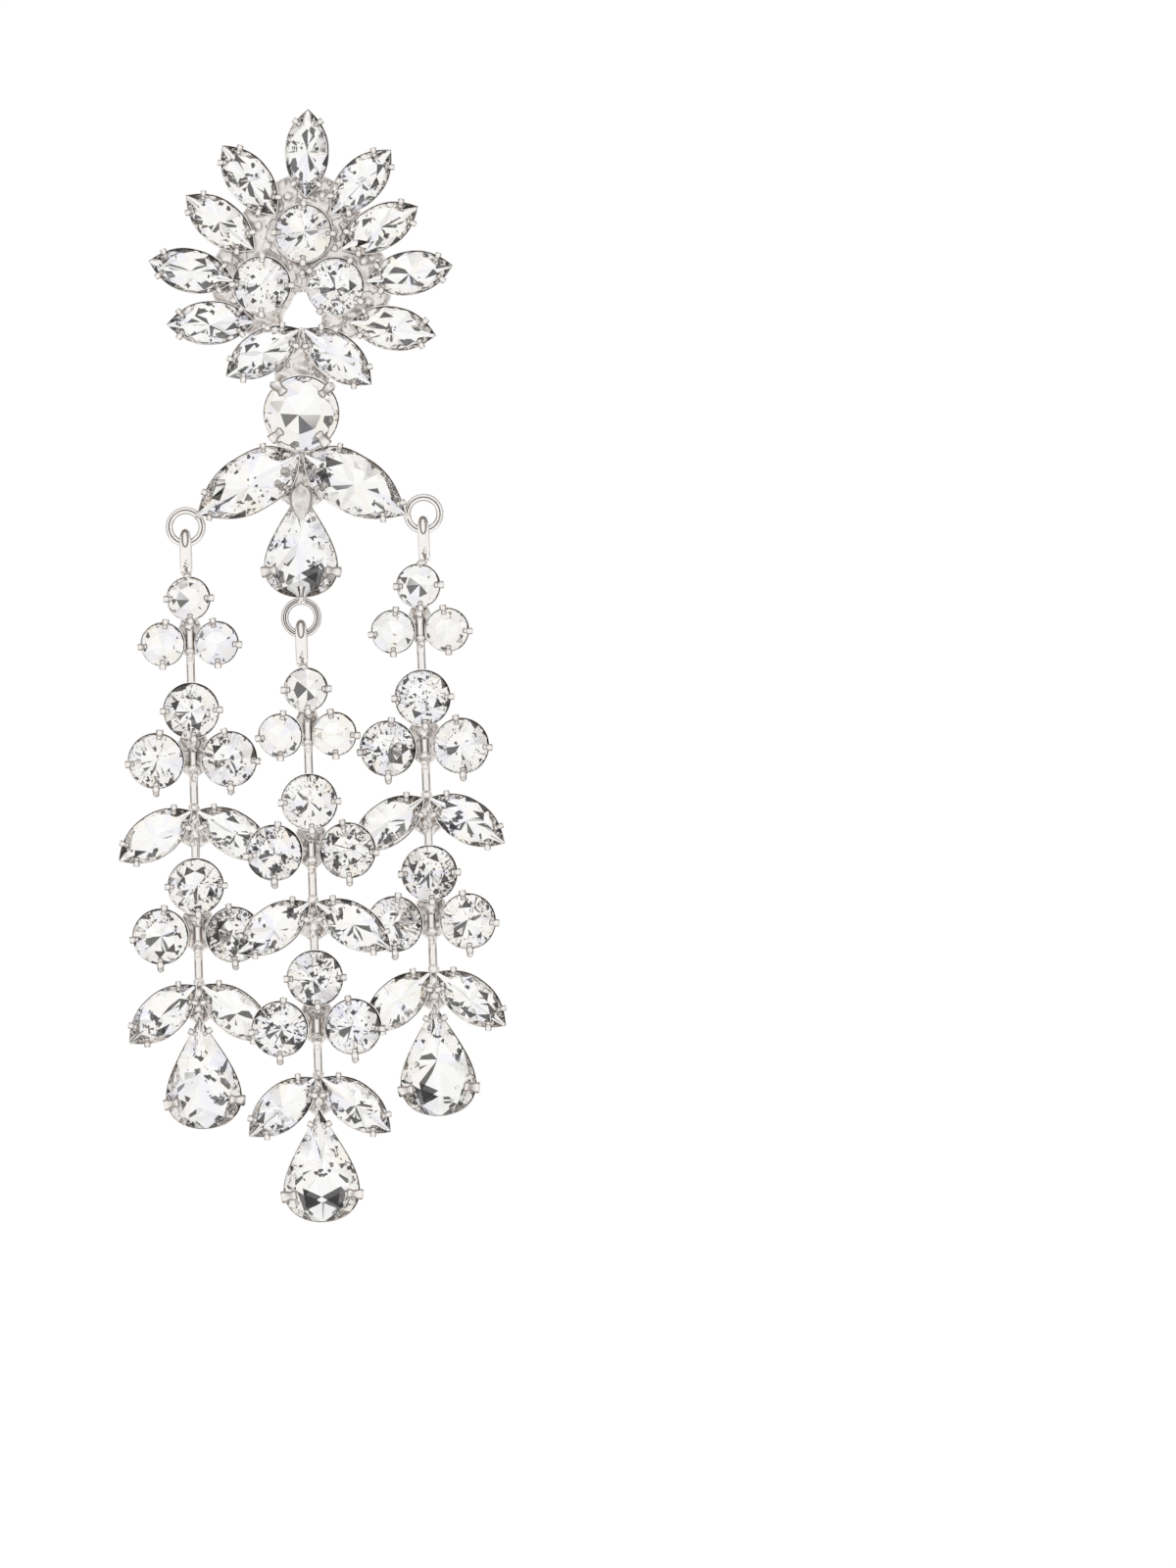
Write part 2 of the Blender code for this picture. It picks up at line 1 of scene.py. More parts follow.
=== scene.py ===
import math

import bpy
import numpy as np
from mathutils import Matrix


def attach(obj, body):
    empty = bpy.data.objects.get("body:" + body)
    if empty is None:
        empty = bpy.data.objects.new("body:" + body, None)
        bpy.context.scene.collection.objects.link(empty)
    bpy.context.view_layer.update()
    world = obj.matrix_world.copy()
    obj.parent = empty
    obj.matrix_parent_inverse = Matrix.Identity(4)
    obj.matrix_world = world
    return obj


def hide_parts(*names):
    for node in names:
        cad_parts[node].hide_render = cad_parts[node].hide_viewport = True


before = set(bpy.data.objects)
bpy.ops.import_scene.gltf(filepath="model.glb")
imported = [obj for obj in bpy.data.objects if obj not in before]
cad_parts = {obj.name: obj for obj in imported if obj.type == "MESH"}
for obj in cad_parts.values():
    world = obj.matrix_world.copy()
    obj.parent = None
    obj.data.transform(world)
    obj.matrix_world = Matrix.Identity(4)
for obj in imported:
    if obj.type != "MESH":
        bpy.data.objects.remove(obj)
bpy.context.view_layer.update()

# Looks of a chandelier earring: foil-backed cut stones in clawed cups, soldered into a rosette, a connector, two
# wings and a pear, with three long drops on rings. Metres, +Z up, and the earring faces -Y. "Front" is a distance
# towards -Y. The sizes and places below are those of the CAD part.

MM = 0.001
MICRON = 0.001 * MM
ALONG_Y = (0.0, 1.0, 0.0)

# Outer sizes of the settings, rim to rim.
PETAL = (9.6 * MM, 4.85 * MM)
ROSETTE_ROUND = (6.4 * MM, 6.4 * MM)
CONNECTOR_ROUND = (8.3 * MM, 8.3 * MM)
WING = (12.9 * MM, 6.4 * MM)
TOP_PEAR = (12.2 * MM, 8.1 * MM)
SMALL_ROUND = (4.9 * MM, 4.9 * MM)
LARGE_ROUND = (6.2 * MM, 6.2 * MM)
DROP_NAVETTE = (9.7 * MM, 4.85 * MM)
DROP_PEAR = (12.6 * MM, 8.3 * MM)

# The section of a cup and its stone.
WALL = 0.13 * MM
STONE_GAP = 0.04 * MM
STONE_SHIFT = 0.05 * MM
RIM_STEP = 0.1 * MM
GIRDLE = 0.25 * MM
SEAT_FLOOR = 0.45 * MM
PAVILION_SHARE = 0.30
# How high a stone's crown and how deep its foil are, as shares of its width.
CUT_SHARES = {"round": (0.10, 0.15), "wing": (0.10, 0.15), "navette": (0.085, 0.125), "pear": (0.08, 0.115)}
TABLE_SHARE = 0.56
STAR_SHARE = 0.80
# How freely each stone's front shows small painted dark glints, which stand in for dark reflections: below 0.94, not
# at all.
GLINTS = {"round": 1.0, "navette": 0.965, "wing": 0.97, "pear": 0.97}
# How rare a stone's crown facets painted dark as reflections are: a power of their random share.
RARENESS = {"round": 1.5, "navette": 2.0, "wing": 2.0, "pear": 2.8}
FIRST_FACET_POWER = 0.35
FACET_POWER = 0.6
LOWER_SHARE = 0.26
CUP_BACK_SHARE = 0.74
OUTLINE_POINTS = 56
PEAR_TAPER = 1.6
PEAR_WIDEST = math.acos(-PEAR_TAPER / (2 + PEAR_TAPER))
PEAR_PEAK = math.sin(PEAR_WIDEST) * math.sin(PEAR_WIDEST / 2) ** PEAR_TAPER
# The part of a quarter turn that a navette's points are spread over, to lie closer near its ends.
NAVETTE_SPREAD = 0.75
# The powers of a navette's and a wing's inner and outer side.
BLUNTNESS = {"navette": (2.35, 2.35), "wing": (3.3, 2.15)}
# Points round a girdle, and the main facets, each over a fan of those points.
GIRDLE_POINTS = 32
MAINS = 8
MAIN = np.arange(MAINS)
FAN_STEP = GIRDLE_POINTS // MAINS
AROUND = np.arange(GIRDLE_POINTS)
NEXT = (AROUND + 1) % GIRDLE_POINTS
BEND = math.cos(math.pi / MAINS)

# Claws and the wide tabs that take their place on the connector and the pears.
CLAW_WIDTH = 0.66 * MM
ROUND_CLAW_WIDTH = 0.76 * MM
CLAW_THICKNESS = 0.36 * MM
CLAW_HOLD = 0.78
TAB_WIDTH = 1.25 * MM
TAB_HOLD = 1.45
CLAW_SPREAD = (0.92, 1.08)
# The leaf over the top pear's tip: length and width in mm.
TIP_PLATE = (4.0, 2.4)
# A bead of solder beyond the lower claws of a large round.
CLAW_BEAD = (0.8, 0.8, 0.7)
CLAW_BEAD_OUT = 0.42 * MM

# The top, from the ear pad forwards and from the rosette downwards.
PAD_RADIUS = 2.6 * MM
PAD_THICKNESS = 0.7 * MM
PIECE_GAP = 0.1 * MM
PIN_RADIUS = 0.45 * MM
PIN_LENGTH = 11.0 * MM
ROSETTE_RADIUS = 7.2 * MM
ROSETTE_HOLE = 1.9 * MM
HOLE_WAVE = 0.18
PETAL_HOLD = 0.36
NECK_LENGTH = 5.05 * MM
JOIN_STEP = 0.15 * MM
WING_DROOP = 30.6
PEAR_NOTCH = 3.35 * MM
PEAR_RAISE = 1.0 * MM
PEAR_TABS_FROM = 0.3
CONNECTOR_TURN = 43.0
# How far the web reaches into the connector and along the wings, and where the wings' web has its middle.
SHOULDER_SHARE = 0.35
WING_HOLD = 0.45
WING_WEB_DROP = 1.2 * MM
WEB_BACK = PAD_THICKNESS + PIECE_GAP
TOP_WEB = 1.75 * MM
# Beads between the petals' inner tips: how far along and in front they lie, and their least and greatest size.
TIP_BEAD_STEP = 1.2 * MM
TIP_BEAD_FRONT = 1.85 * MM
TIP_BEAD_SIZES = (0.9, 1.25)
# Beads of solder on the top, in mm: across, up, front and size.
TOP_BEADS = (
    (0.1, 0.0, 2.75, 0.75), (0.1, -1.35, 2.9, 0.95), (-4.1, -6.9, 3.0, 0.7), (4.1, -5.9, 2.9, 0.75),
    (-1.9, -22.6, 3.4, 0.9), (1.9, -22.7, 3.4, 0.9), (-2.6, -23.9, 3.5, 0.85), (2.55, -24.0, 3.5, 0.85),
    (-2.4, -19.4, 3.2, 0.8), (2.5, -19.3, 3.2, 0.75), (-3.1, -13.3, 2.6, 0.8), (3.2, -13.4, 2.6, 0.85),
)

# Hanging rings and the bails on them.
RING_RADIUS = 1.77 * MM
RING_WIRE = 0.78 * MM
RING_SETBACK = 0.55 * MM
SIDE_RING_FRONT = 0.95 * MM
LUG_RADIUS = 0.48 * MM
LUG_WAIST = 0.375
# The share of a wing's length from which its lug runs out to the ring.
LUG_FROM = 0.8
BAIL_WIDTH = 1.3 * MM
BAIL_STRIP = 0.5 * MM
BAIL_PLAY = 0.22 * MM
BAIL_ARCH = 0.42 * MM
# The slot in the bail's arch, in mm: its middle's height over the pivot, half its length and half its width.
SLOT_MIDDLE = 0.45
SLOT_REACH = 0.85
SLOT_HALF_WIDTH = 0.3

# A ring's section by its number of grooves, in mm: outwards and towards the front.
RING_SECTIONS = {
    1: (
        (-0.39, 0.0), (-0.36, 0.18), (-0.28, 0.28), (-0.14, 0.32), (-0.04, 0.30), (0.02, 0.16), (0.08, 0.30),
        (0.2, 0.32), (0.32, 0.25), (0.39, 0.0), (0.34, -0.25), (0.2, -0.33), (-0.2, -0.33), (-0.34, -0.25),
    ),
    2: (
        (-0.39, 0.0), (-0.36, 0.2), (-0.27, 0.28), (-0.15, 0.30), (-0.09, 0.14), (-0.03, 0.30), (0.05, 0.30),
        (0.11, 0.14), (0.17, 0.30), (0.29, 0.27), (0.37, 0.18), (0.39, 0.0), (0.36, -0.25), (0.2, -0.33),
        (-0.2, -0.33), (-0.36, -0.25),
    ),
}

# A drop, from its pivot downwards.
BAIL_REACH = 3.5 * MM
# Its tiers of stones: the rounds' size, the gaps between the lower two and above those, the length of stem below
# them, the droop of the navettes on its end, and the neck from there to the next tier.
TIERS = (
    (SMALL_ROUND, 0.9 * MM, 0.75 * MM, 1.65 * MM, None, 0.0),
    (LARGE_ROUND, 1.65 * MM, 0.4 * MM, 2.25 * MM, 33.5, 5.1 * MM),
    (LARGE_ROUND, 1.65 * MM, 0.4 * MM, 2.15 * MM, 39.8, 0.0),
)
# How far a run of the stem reaches into a round's cup, as a share of the cup's width from its middle.
STEM_IN_CUP = 0.42
STEM_IN_PEAR = 0.6 * MM
STEM_UNDER_NAVETTES = 3.2 * MM
PEAR_HANG = 3.0 * MM
NAVETTE_STEP = 0.2 * MM
STEM_RADIUS = 0.45 * MM
# Grains of solder, drawn dark: their shape, how dark they are drawn, and lumps.
GRAIN_SHAPE = (1.0, 0.6, 1.0)
GRAIN_DARKNESS = 1.6
GRAIN_LUMP = 0.16
# Grains of solder low on a bail's front, in mm: across, down from the pivot, and size.
BAIL_GRAINS = (
    (0.06, 1.9, 0.24), (-0.04, 2.15, 0.26), (0.12, 2.3, 0.2), (-0.1, 2.5, 0.34), (0.14, 2.65, 0.26), (0.0, 2.85, 0.3),
    (0.1, 3.05, 0.26),
)
DROP_BACK = 1.53 * MM
DROP_WEB = 1.4 * MM
# Grains on the bead in the middle of a trio, in mm: across and down from its middle, and size.
TRIO_GRAINS = (
    (-0.35, 0.42, 0.34), (0.38, 0.25, 0.38), (0.02, 0.58, 0.3), (0.05, 0.2, 0.46), (-0.3, -0.05, 0.36),
    (0.3, -0.3, 0.3),
)
TRIO_BEAD_RADIUS = 0.75
# Beads down the tail of a trio's web: shares of the stones' size down from the lower two, and widths in mm.
TAIL_BEADS = ((0.14, 1.25), (0.26, 1.05), (0.33, 0.85))
# Beads under a pair of navettes, in mm: across and down from their tips, and size.
NAVETTE_BEADS = ((0.0, 1.0, 1.1), (-0.45, 1.75, 1.1), (0.5, 1.9, 1.05), (0.0, 2.6, 1.2), (-0.1, 3.4, 1.0))
# A trio's web, as shares of its stones' places and of their size.
TRIO_WEB = (0.68, 1.02)
TRIO_TAIL = 0.34
# A navette pair's web: how far along the navettes, above their tips and down the middle, and where it is centred.
NAVETTE_HOLD = 0.4
NAVETTE_WEB_TOP = 0.5 * MM
NAVETTE_WEB_TAIL = 1.15
NAVETTE_WEB_MIDDLE = 0.4
# A web's lumps, how thin it is inside the cups and how far in its back lies. The shares of its radius over which its
# edge and its hole's edge round off, and where it sinks, as shares of a cup's outline.
LUMPS = 0.16 * MM
WEB_FLOOR = 0.3 * MM
WEB_INSET = 0.09 * MM
EDGE_LIP = 0.14
HOLE_LIP = 0.07
CUP_SINK = (0.86, 0.1)

# Each petal: its inner tip as shares of ROSETTE_RADIUS across and up, and its axis in degrees from +X.
PETALS = (
    (0.06, 0.945, 88.5), (-0.376, 0.676, 127.5), (-0.694, 0.157, 141.4), (-0.997, -0.296, 167.0),
    (-0.694, -0.90, 182.0), (-0.02, -1.0, 212.9), (0.02, -1.0, 320.5), (0.696, -0.90, 351.0),
    (0.95, -0.296, 10.1), (0.579, 0.174, 29.0), (0.429, 0.694, 47.0),
)
# The web reaches down to the connector between this petal and the next.
LOWEST_PETAL = 6
# The three round stones inside the petals: across and up as shares of ROSETTE_RADIUS, and the turn of the claws.
ROSETTE_CENTRES = ((0.026, 0.41, 10.0), (-0.593, -0.363, 10.0), (0.497, -0.38, -20.0))
HOLE_DROP_SHARE = -0.76

# Each drop: its body, the bearing of its ring, how far its chain steps aside, its lean and its pear's lean.
DROPS = (
    ("left_drop", 222.6, 0.2 * MM, 1.5, 2.0),
    ("centre_drop", 270.0, 0.35 * MM, 1.8, 0.3),
    ("right_drop", 7.0, -0.75 * MM, 2.2, 0.8),
)

# Where the claws are, as shares of the way round from the +X end of the outline.
CLAWS = {
    "round": (0.22, 0.47, 0.72, 0.97),
    "connector": (0.0, 0.245, 0.495, 0.74),
    "trio top": (0.0, 0.26, 0.5),
    "trio left": (0.17, 0.46, 0.69),
    "trio right": (0.33, 0.04, 0.81),
    "navette": (0.1, 0.4, 0.6, 0.9),
    "wing": (0.06, 0.36, 0.64, 0.9),
    "pear": (0.13, 0.34, 0.66, 0.87),
}

# Dark cards round the tent: the direction to each, and its radius in degrees.
CARDS = ((0.82, -0.47, 0.33, 11.0), (-0.30, -0.47, 0.83, 9.0), (-0.6, -0.75, -0.3, 7.0), (0.35, -0.9, -0.35, 6.0))
DARKEST = 0.09
BACKDROP = 1.02
# The floor's profile: radius and height in metres.
FLOOR = ((0.20, -0.188), (0.30, -0.1881), (0.302, -0.190), (0.30, -0.192), (0.20, -0.192))
LENS = 192.0
SENSOR = 36.0
CAMERA_SPOT = (0.0307, -0.9, -0.0561)

rng = np.random.default_rng(20)


def unit(vectors):
    """Each vector over its own length."""
    return vectors / np.linalg.norm(vectors, axis=-1, keepdims=True)


def turns(count, offset=0.0):
    """Angles spaced evenly round one turn."""
    return 2 * np.pi * (np.arange(count) + offset) / count


def grid(*parts):
    """Points whose coordinates are these parts, each spread over the shape that they share."""
    return np.stack(np.broadcast_arrays(*parts), -1)


def outline(shape, size, shares):
    """Points of an outline at these shares of the way round, from its +X end over its +Y side.

    Round: half the size times the cosine and the sine of the turn. Pear: half the length times cos t, by half the
    width times sin t and a power of sin(t/2), widened to the full width. Navette and wing: half the width times one
    less a power of the share of the half length, so that a higher power makes a blunter end.
    """
    length, width = size
    shares = np.asarray(shares, float) % 1.0
    turn = 2 * np.pi * shares
    if shape == "round":
        return grid(length / 2 * np.cos(turn), width / 2 * np.sin(turn))
    if shape == "pear":
        rise = np.sin(turn) * np.sin(turn / 2) ** PEAR_TAPER / PEAR_PEAK
        return grid(length / 2 * np.cos(turn), width / 2 * rise)
    side = np.where(shares < 0.5, 1.0, -1.0)
    spread = NAVETTE_SPREAD * math.pi / 2
    along = np.sin(spread * (1 - 2 * ((2 * shares) % 1.0))) / math.sin(spread)
    inner, outer = BLUNTNESS[shape]
    rise = 1 - np.abs(along) ** np.where(side * along < 0, inner, outer)
    return grid(side * length / 2 * along, side * width / 2 * rise)


def outset(points, distance):
    """Every side of a closed outline moved out by the distance, with mitred corners."""
    after = unit(np.roll(points, -1, axis=0) - points)
    before = np.roll(after, 1, axis=0)
    first = np.stack([before[:, 1], -before[:, 0]], -1)
    second = np.stack([after[:, 1], -after[:, 0]], -1)
    normal = unit(first + second)
    mitre = 1 / (normal * first).sum(-1, keepdims=True)
    return points + normal * mitre * distance


def waves(points, size, strength, count=7):
    """A lumpy height over the points: sines of random direction, phase and wavelength round the given size."""
    directions = unit(rng.normal(size=(count, points.shape[-1])))
    lengths = size * rng.uniform(0.6, 1.7, count)
    phases = rng.uniform(0, 2 * np.pi, count)
    turns = 2 * np.pi * (points @ directions.T) / lengths + phases
    return strength * np.sin(turns).sum(-1) / math.sqrt(count)


class Frame:
    """Three directions and an origin, in the frame of what carries them."""

    def __init__(self, turned, across, up, front, carrier=None):
        self.turned = np.array(turned)
        self.origin = np.array((across, -front, up))
        self.carrier = carrier

    def local(self, points):
        """Points of this frame in its carrier's frame: shares of the three directions, added to the origin."""
        return np.asarray(points, float) @ self.turned + self.origin

    def row(self, points):
        """The same points in the row frame, moved with all that carries them."""
        points = self.local(points)
        return points if self.carrier is None else self.carrier.row(points)


class Place(Frame):
    """A frame on the face of the earring: local X along a turn, local Z towards the front."""

    def __init__(self, across, up, front, turn=0.0, carrier=None):
        cos, sin = math.cos(math.radians(turn)), math.sin(math.radians(turn))
        super().__init__(((cos, 0.0, sin), (-sin, 0.0, cos), (0.0, -1.0, 0.0)), across, up, front, carrier)

    def ahead(self, distance):
        """The point at this distance along local X, as across and up in the carrier's frame."""
        point = self.local((distance, 0.0, 0.0))
        return point[0], point[2]


class Swing(Frame):
    """A drop's rest place: leaned about Y, then moved to its pivot."""

    def __init__(self, across, up, front, lean):
        cos, sin = math.cos(math.radians(lean)), math.sin(math.radians(lean))
        super().__init__(((cos, 0.0, sin), (0.0, 1.0, 0.0), (-sin, 0.0, cos)), across, up, front)


def skin(points, wrap=False):
    """Faces over rows x columns of points. Columns close on themselves; rows wrap, or end in a fan to their middle."""
    rows, columns = points.shape[:2]
    flat = points.reshape(-1, 3)
    index = np.arange(rows * columns).reshape(rows, columns)
    if wrap:
        low, high = index, np.roll(index, -1, axis=0)
    else:
        low, high = index[:-1], index[1:]
    corners = (low, np.roll(low, -1, axis=1), np.roll(high, -1, axis=1), high)
    quads = np.stack(corners, -1).reshape(-1, 4)
    if wrap:
        return flat, quads, np.empty((0, 3), int)
    flat = np.vstack([flat, points[0].mean(0), points[-1].mean(0)])
    first, last = index[0], index[-1]
    start = np.stack([np.full(columns, len(flat) - 2), np.roll(first, -1), first], -1)
    end = np.stack([np.full(columns, len(flat) - 1), last, np.roll(last, -1)], -1)
    return flat, quads, np.vstack([start, end])


def sweep(path, side, width, height, sides=10, square=2.0, closed=False):
    """A section carried along a path, as rows x columns of points.

    The section is a superellipse: signed powers of the cosine and sine of its turn, times half the width towards
    the side vector and half the height at right angles to it and to the path.
    """
    path = np.asarray(path, float)
    step = np.roll(path, -1, axis=0) - np.roll(path, 1, axis=0) if closed else np.gradient(path, axis=0)
    tangent = unit(step)
    side = np.broadcast_to(np.asarray(side, float), path.shape)
    side = unit(side - tangent * (side * tangent).sum(-1, keepdims=True))
    lift = np.cross(tangent, side)
    turn = turns(sides, 0.5)
    across = np.sign(np.cos(turn)) * np.abs(np.cos(turn)) ** (2 / square)
    up = np.sign(np.sin(turn)) * np.abs(np.sin(turn)) ** (2 / square)
    width = np.broadcast_to(np.asarray(width, float), len(path))[:, None, None] / 2
    height = np.broadcast_to(np.asarray(height, float), len(path))[:, None, None] / 2
    return path[:, None] + side[:, None] * across[:, None] * width + lift[:, None] * up[:, None] * height


def ball(centre, size, lump=0.08, rows=6, columns=10):
    """A lumpy bead of solder: a sphere's rows and columns, with its radius shaken a little by waves."""
    height = np.pi * (np.arange(rows) + 0.75)[:, None] / (rows + 0.5)
    turn = turns(columns)
    points = grid(np.sin(height) * np.cos(turn), np.sin(height) * np.sin(turn), np.cos(height))
    points = points * (1 + waves(points, 1.6, lump))[..., None]
    return points * np.asarray(size) / 2 + np.asarray(centre)


class Piece:
    """Shapes gathered into one mesh, with how much painted shade each point takes."""

    def __init__(self):
        self.points, self.quads, self.tris, self.recess = [], [], [], []
        self.count = 0

    def put(self, shape, recess=0.0, wrap=False):
        """Adds a shape given as rows x columns of points, with its faces turned outwards."""
        points, quads, tris = skin(shape, wrap)
        corners = np.vstack([quads[:, :3], quads[:, [0, 2, 3]], tris])
        centred = points - points.mean(0)
        if np.linalg.det(centred[corners]).sum() < 0:
            quads, tris = quads[:, ::-1], tris[:, ::-1]
        recess = np.broadcast_to(np.asarray(recess, float), shape.shape[:2]).reshape(-1)
        ends = [] if wrap else [recess[0], recess[-1]]
        self.points.append(points)
        self.quads.append(quads + self.count)
        self.tris.append(tris + self.count)
        self.recess.append(np.append(recess, ends))
        self.count += len(points)

    def made(self, name, material, body, slot, nodes, sharp=50.0):
        """The finished object, riding on its body in place of the CAD nodes."""
        mesh = bpy.data.meshes.new(name)
        faces = np.vstack(self.quads).tolist() + np.vstack(self.tris).tolist()
        mesh.from_pydata(np.vstack(self.points), [], faces)
        recess = mesh.attributes.new("recess", "FLOAT", "POINT")
        recess.data.foreach_set("value", np.concatenate(self.recess).astype(np.float32))
        mesh.shade_smooth()
        mesh.set_sharp_from_angle(angle=math.radians(sharp))
        shown(name, mesh, [material], body, nodes)


def shown(name, mesh, materials, body, nodes):
    """The object of a finished mesh, with what the frame needs to know of it."""
    for material in materials:
        mesh.materials.append(material)
    piece = bpy.data.objects.new(name, mesh)
    bpy.context.scene.collection.objects.link(piece)
    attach(piece, body)
    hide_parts(*nodes)


class Setting:
    """One cup with its claws and its cut stone. Its rim lies its depth in front of its back."""

    def __init__(self, shape, size, spot, turn, back, claws=None, swing=None, tabs_from=1.0, simple=False):
        self.shape, self.size, self.simple, self.tabs_from = shape, size, simple, tabs_from
        self.claws = CLAWS[claws or shape]
        self.crown, self.foil = (share * size[1] for share in CUT_SHARES[shape])
        self.pavilion = PAVILION_SHARE * size[1]
        self.depth = RIM_STEP + GIRDLE + self.pavilion + SEAT_FLOOR
        self.place = Place(*spot, back + self.depth, turn, swing)
        self.edge = outline(shape, size, np.arange(OUTLINE_POINTS) / OUTLINE_POINTS)

    def cup(self, piece):
        """A profile carried round the outline: a flared wall with soft edges, a rolled lip, and a seat inside it."""
        seat = RIM_STEP + GIRDLE
        well = seat + 0.15 * MM
        # Share of the outline, distance out of it, height from the rim, and painted shade, most on the back and inside
        # the rim.
        rows = (
            (0.45, 0.0, -self.depth, 0.7),
            (0.92, 0.0, -self.depth, 0.8),
            (1.0, 0.0, 0.1 * MM - self.depth, 0.7),
            (1.0, 0.0, -0.6 * self.depth, 0.8),
            (1.0, 0.0, -0.3 * self.depth, 0.5),
            (1.0, -0.02 * MM, -0.3 * MM, 0.3),
            (1.0, 0.0, -0.04 * MM, 0.0),
            (1.0, -0.15 * WALL, 0.01 * MM, 0.0),
            (1.0, -0.75 * WALL, 0.0, 0.1),
            (1.0, -WALL, -0.1 * MM, 0.9),
            (1.0, -WALL, -seat - STONE_GAP, 1.0),
            (0.5, -WALL, -well - 0.5 * self.pavilion, 1.0),
            (0.04, -WALL, -well - self.pavilion, 1.0),
        )
        rings = []
        for share, out, height, _ in rows:
            flare = 1 + (1 - CUP_BACK_SHARE) * height / self.depth if out > -WALL else 1.0
            rings.append(grid(*(outset(self.edge, out) * share * flare).T, height))
        piece.put(self.place.row(np.stack(rings)), np.array([row[3] for row in rows])[:, None])

    def claw(self, piece, share, width, hold):
        """A claw: a flat round-edged bar carried up the wall, over the rim and on to the crown, to a blunt tip."""
        near = outline(self.shape, self.size, [share - 0.01, share, share + 0.01])
        along = unit(near[2] - near[0])
        slope = (self.crown + RIM_STEP) / ((self.size[1] / 2 - WALL) * (1 - TABLE_SHARE))
        lean = (1 - CUP_BACK_SHARE) * self.size[1] / 2 / self.depth
        # Outwards and up from the rim, in mm, how thick the bar is there, and how much painted shade it takes.
        rows = np.array(
            (
                (0.02 - 1.25 * lean, -1.25, 0.55, 0.9),
                (0.10 - 0.7 * lean, -0.7, 0.85, 0.9),
                (0.16, -0.12, 1.0, 1.0),
                (0.12, 0.18, 1.05, 0.75),
                (-0.12, 0.28, 1.0, 0.55),
                (-0.54 * hold, slope * (0.54 * hold - 0.25) + 0.24, 0.72, 0.95),
                (-0.85 * hold, slope * (0.85 * hold - 0.25) + 0.14, 0.95, 0.6),
                (-hold, slope * (hold - 0.25) + 0.06, 0.5, 1.3),
            )
        )
        path = grid(rows[:, 0], 0.0, rows[:, 1]) * MM
        bar = sweep(path, ALONG_Y, width * rows[:, 2], CLAW_THICKNESS * rows[:, 2], sides=8, square=2.6)
        turned = bar @ np.array(((along[1], -along[0], 0.0), (*along, 0.0), (0.0, 0.0, 1.0))) + (*near[1], 0.0)
        # Painted shade along the claw's two side edges.
        edges = 0.75 * (np.abs(np.cos(turns(8, 0.5))) > 0.5)
        piece.put(self.place.row(turned), rows[:, 3:] + edges)

    def tip_plate(self, piece):
        """A domed leaf of metal over the stone's tip: a flat oval carried down the axis, widest near the top."""
        down = np.linspace(0.0, TIP_PLATE[0], 12)
        slope = (self.crown + RIM_STEP) / (self.size[0] / 2 * (1 - TABLE_SHARE))
        rise = np.minimum(down * slope, self.crown / MM) + 0.05
        path = grid(self.size[0] / 2 / MM - down, 0.0, rise) * MM
        width = TIP_PLATE[1] * MM * np.sin(np.pi * (down / TIP_PLATE[0]) ** 0.7) ** 0.8 + 0.05 * MM
        # Painted shade over the leaf, heavier along its edges.
        edges = np.abs(np.cos(turns(14, 0.5))) > 0.9
        piece.put(self.place.row(sweep(path, ALONG_Y, width, 0.16 * width, sides=14)), 0.78 + 0.8 * edges)

    def reach(self, flat):
        """How far out each point of the face lies: its distance from the stone's middle over the outline's there."""
        away = flat - np.array((self.place.origin[0], self.place.origin[2]))
        turned = away @ self.place.turned[:2][:, [0, 2]].T
        bearing = np.arctan2(self.edge[:, 1], self.edge[:, 0])
        order = np.argsort(bearing)
        limits = np.linalg.norm(self.edge, axis=1)[order]
        here = np.arctan2(turned[..., 1], turned[..., 0])
        return np.linalg.norm(turned, axis=-1) / np.interp(here, bearing[order], limits, period=2 * np.pi)

    def all_claws(self, piece):
        """Its claws or wide tabs, and a bead of solder beyond each lower claw of a large round."""
        for share in self.claws:
            wide = self.tabs_from <= min(share, 1 - share)
            width = TAB_WIDTH if wide else ROUND_CLAW_WIDTH if self.shape == "round" else CLAW_WIDTH
            self.claw(piece, share, width * rng.uniform(*CLAW_SPREAD), TAB_HOLD if wide else CLAW_HOLD)
            end = outline(self.shape, self.size, share) * (1 + CLAW_BEAD_OUT / (self.size[1] / 2))
            below = self.place.origin[2] - self.place.local((*end, 0.0))[2]
            if self.size == LARGE_ROUND and below > 0.4 * self.size[1]:
                piece.put(self.place.row(ball((*end, -0.25 * MM), np.array(CLAW_BEAD) * MM)), 0.8)


def rings_of(rows):
    """Rings of points, each a flat outline times a share at its height, and where each ring starts among them."""
    rings = [grid(*(ring * share).T, height) for ring, share, height in rows]
    return np.vstack(rings), np.cumsum([0] + [len(ring) for ring in rings])[:-1]


def band(top, base):
    """The girdle's own faces, from its upper ring to its lower one."""
    return grid(top + AROUND, base + AROUND, base + NEXT, top + NEXT)


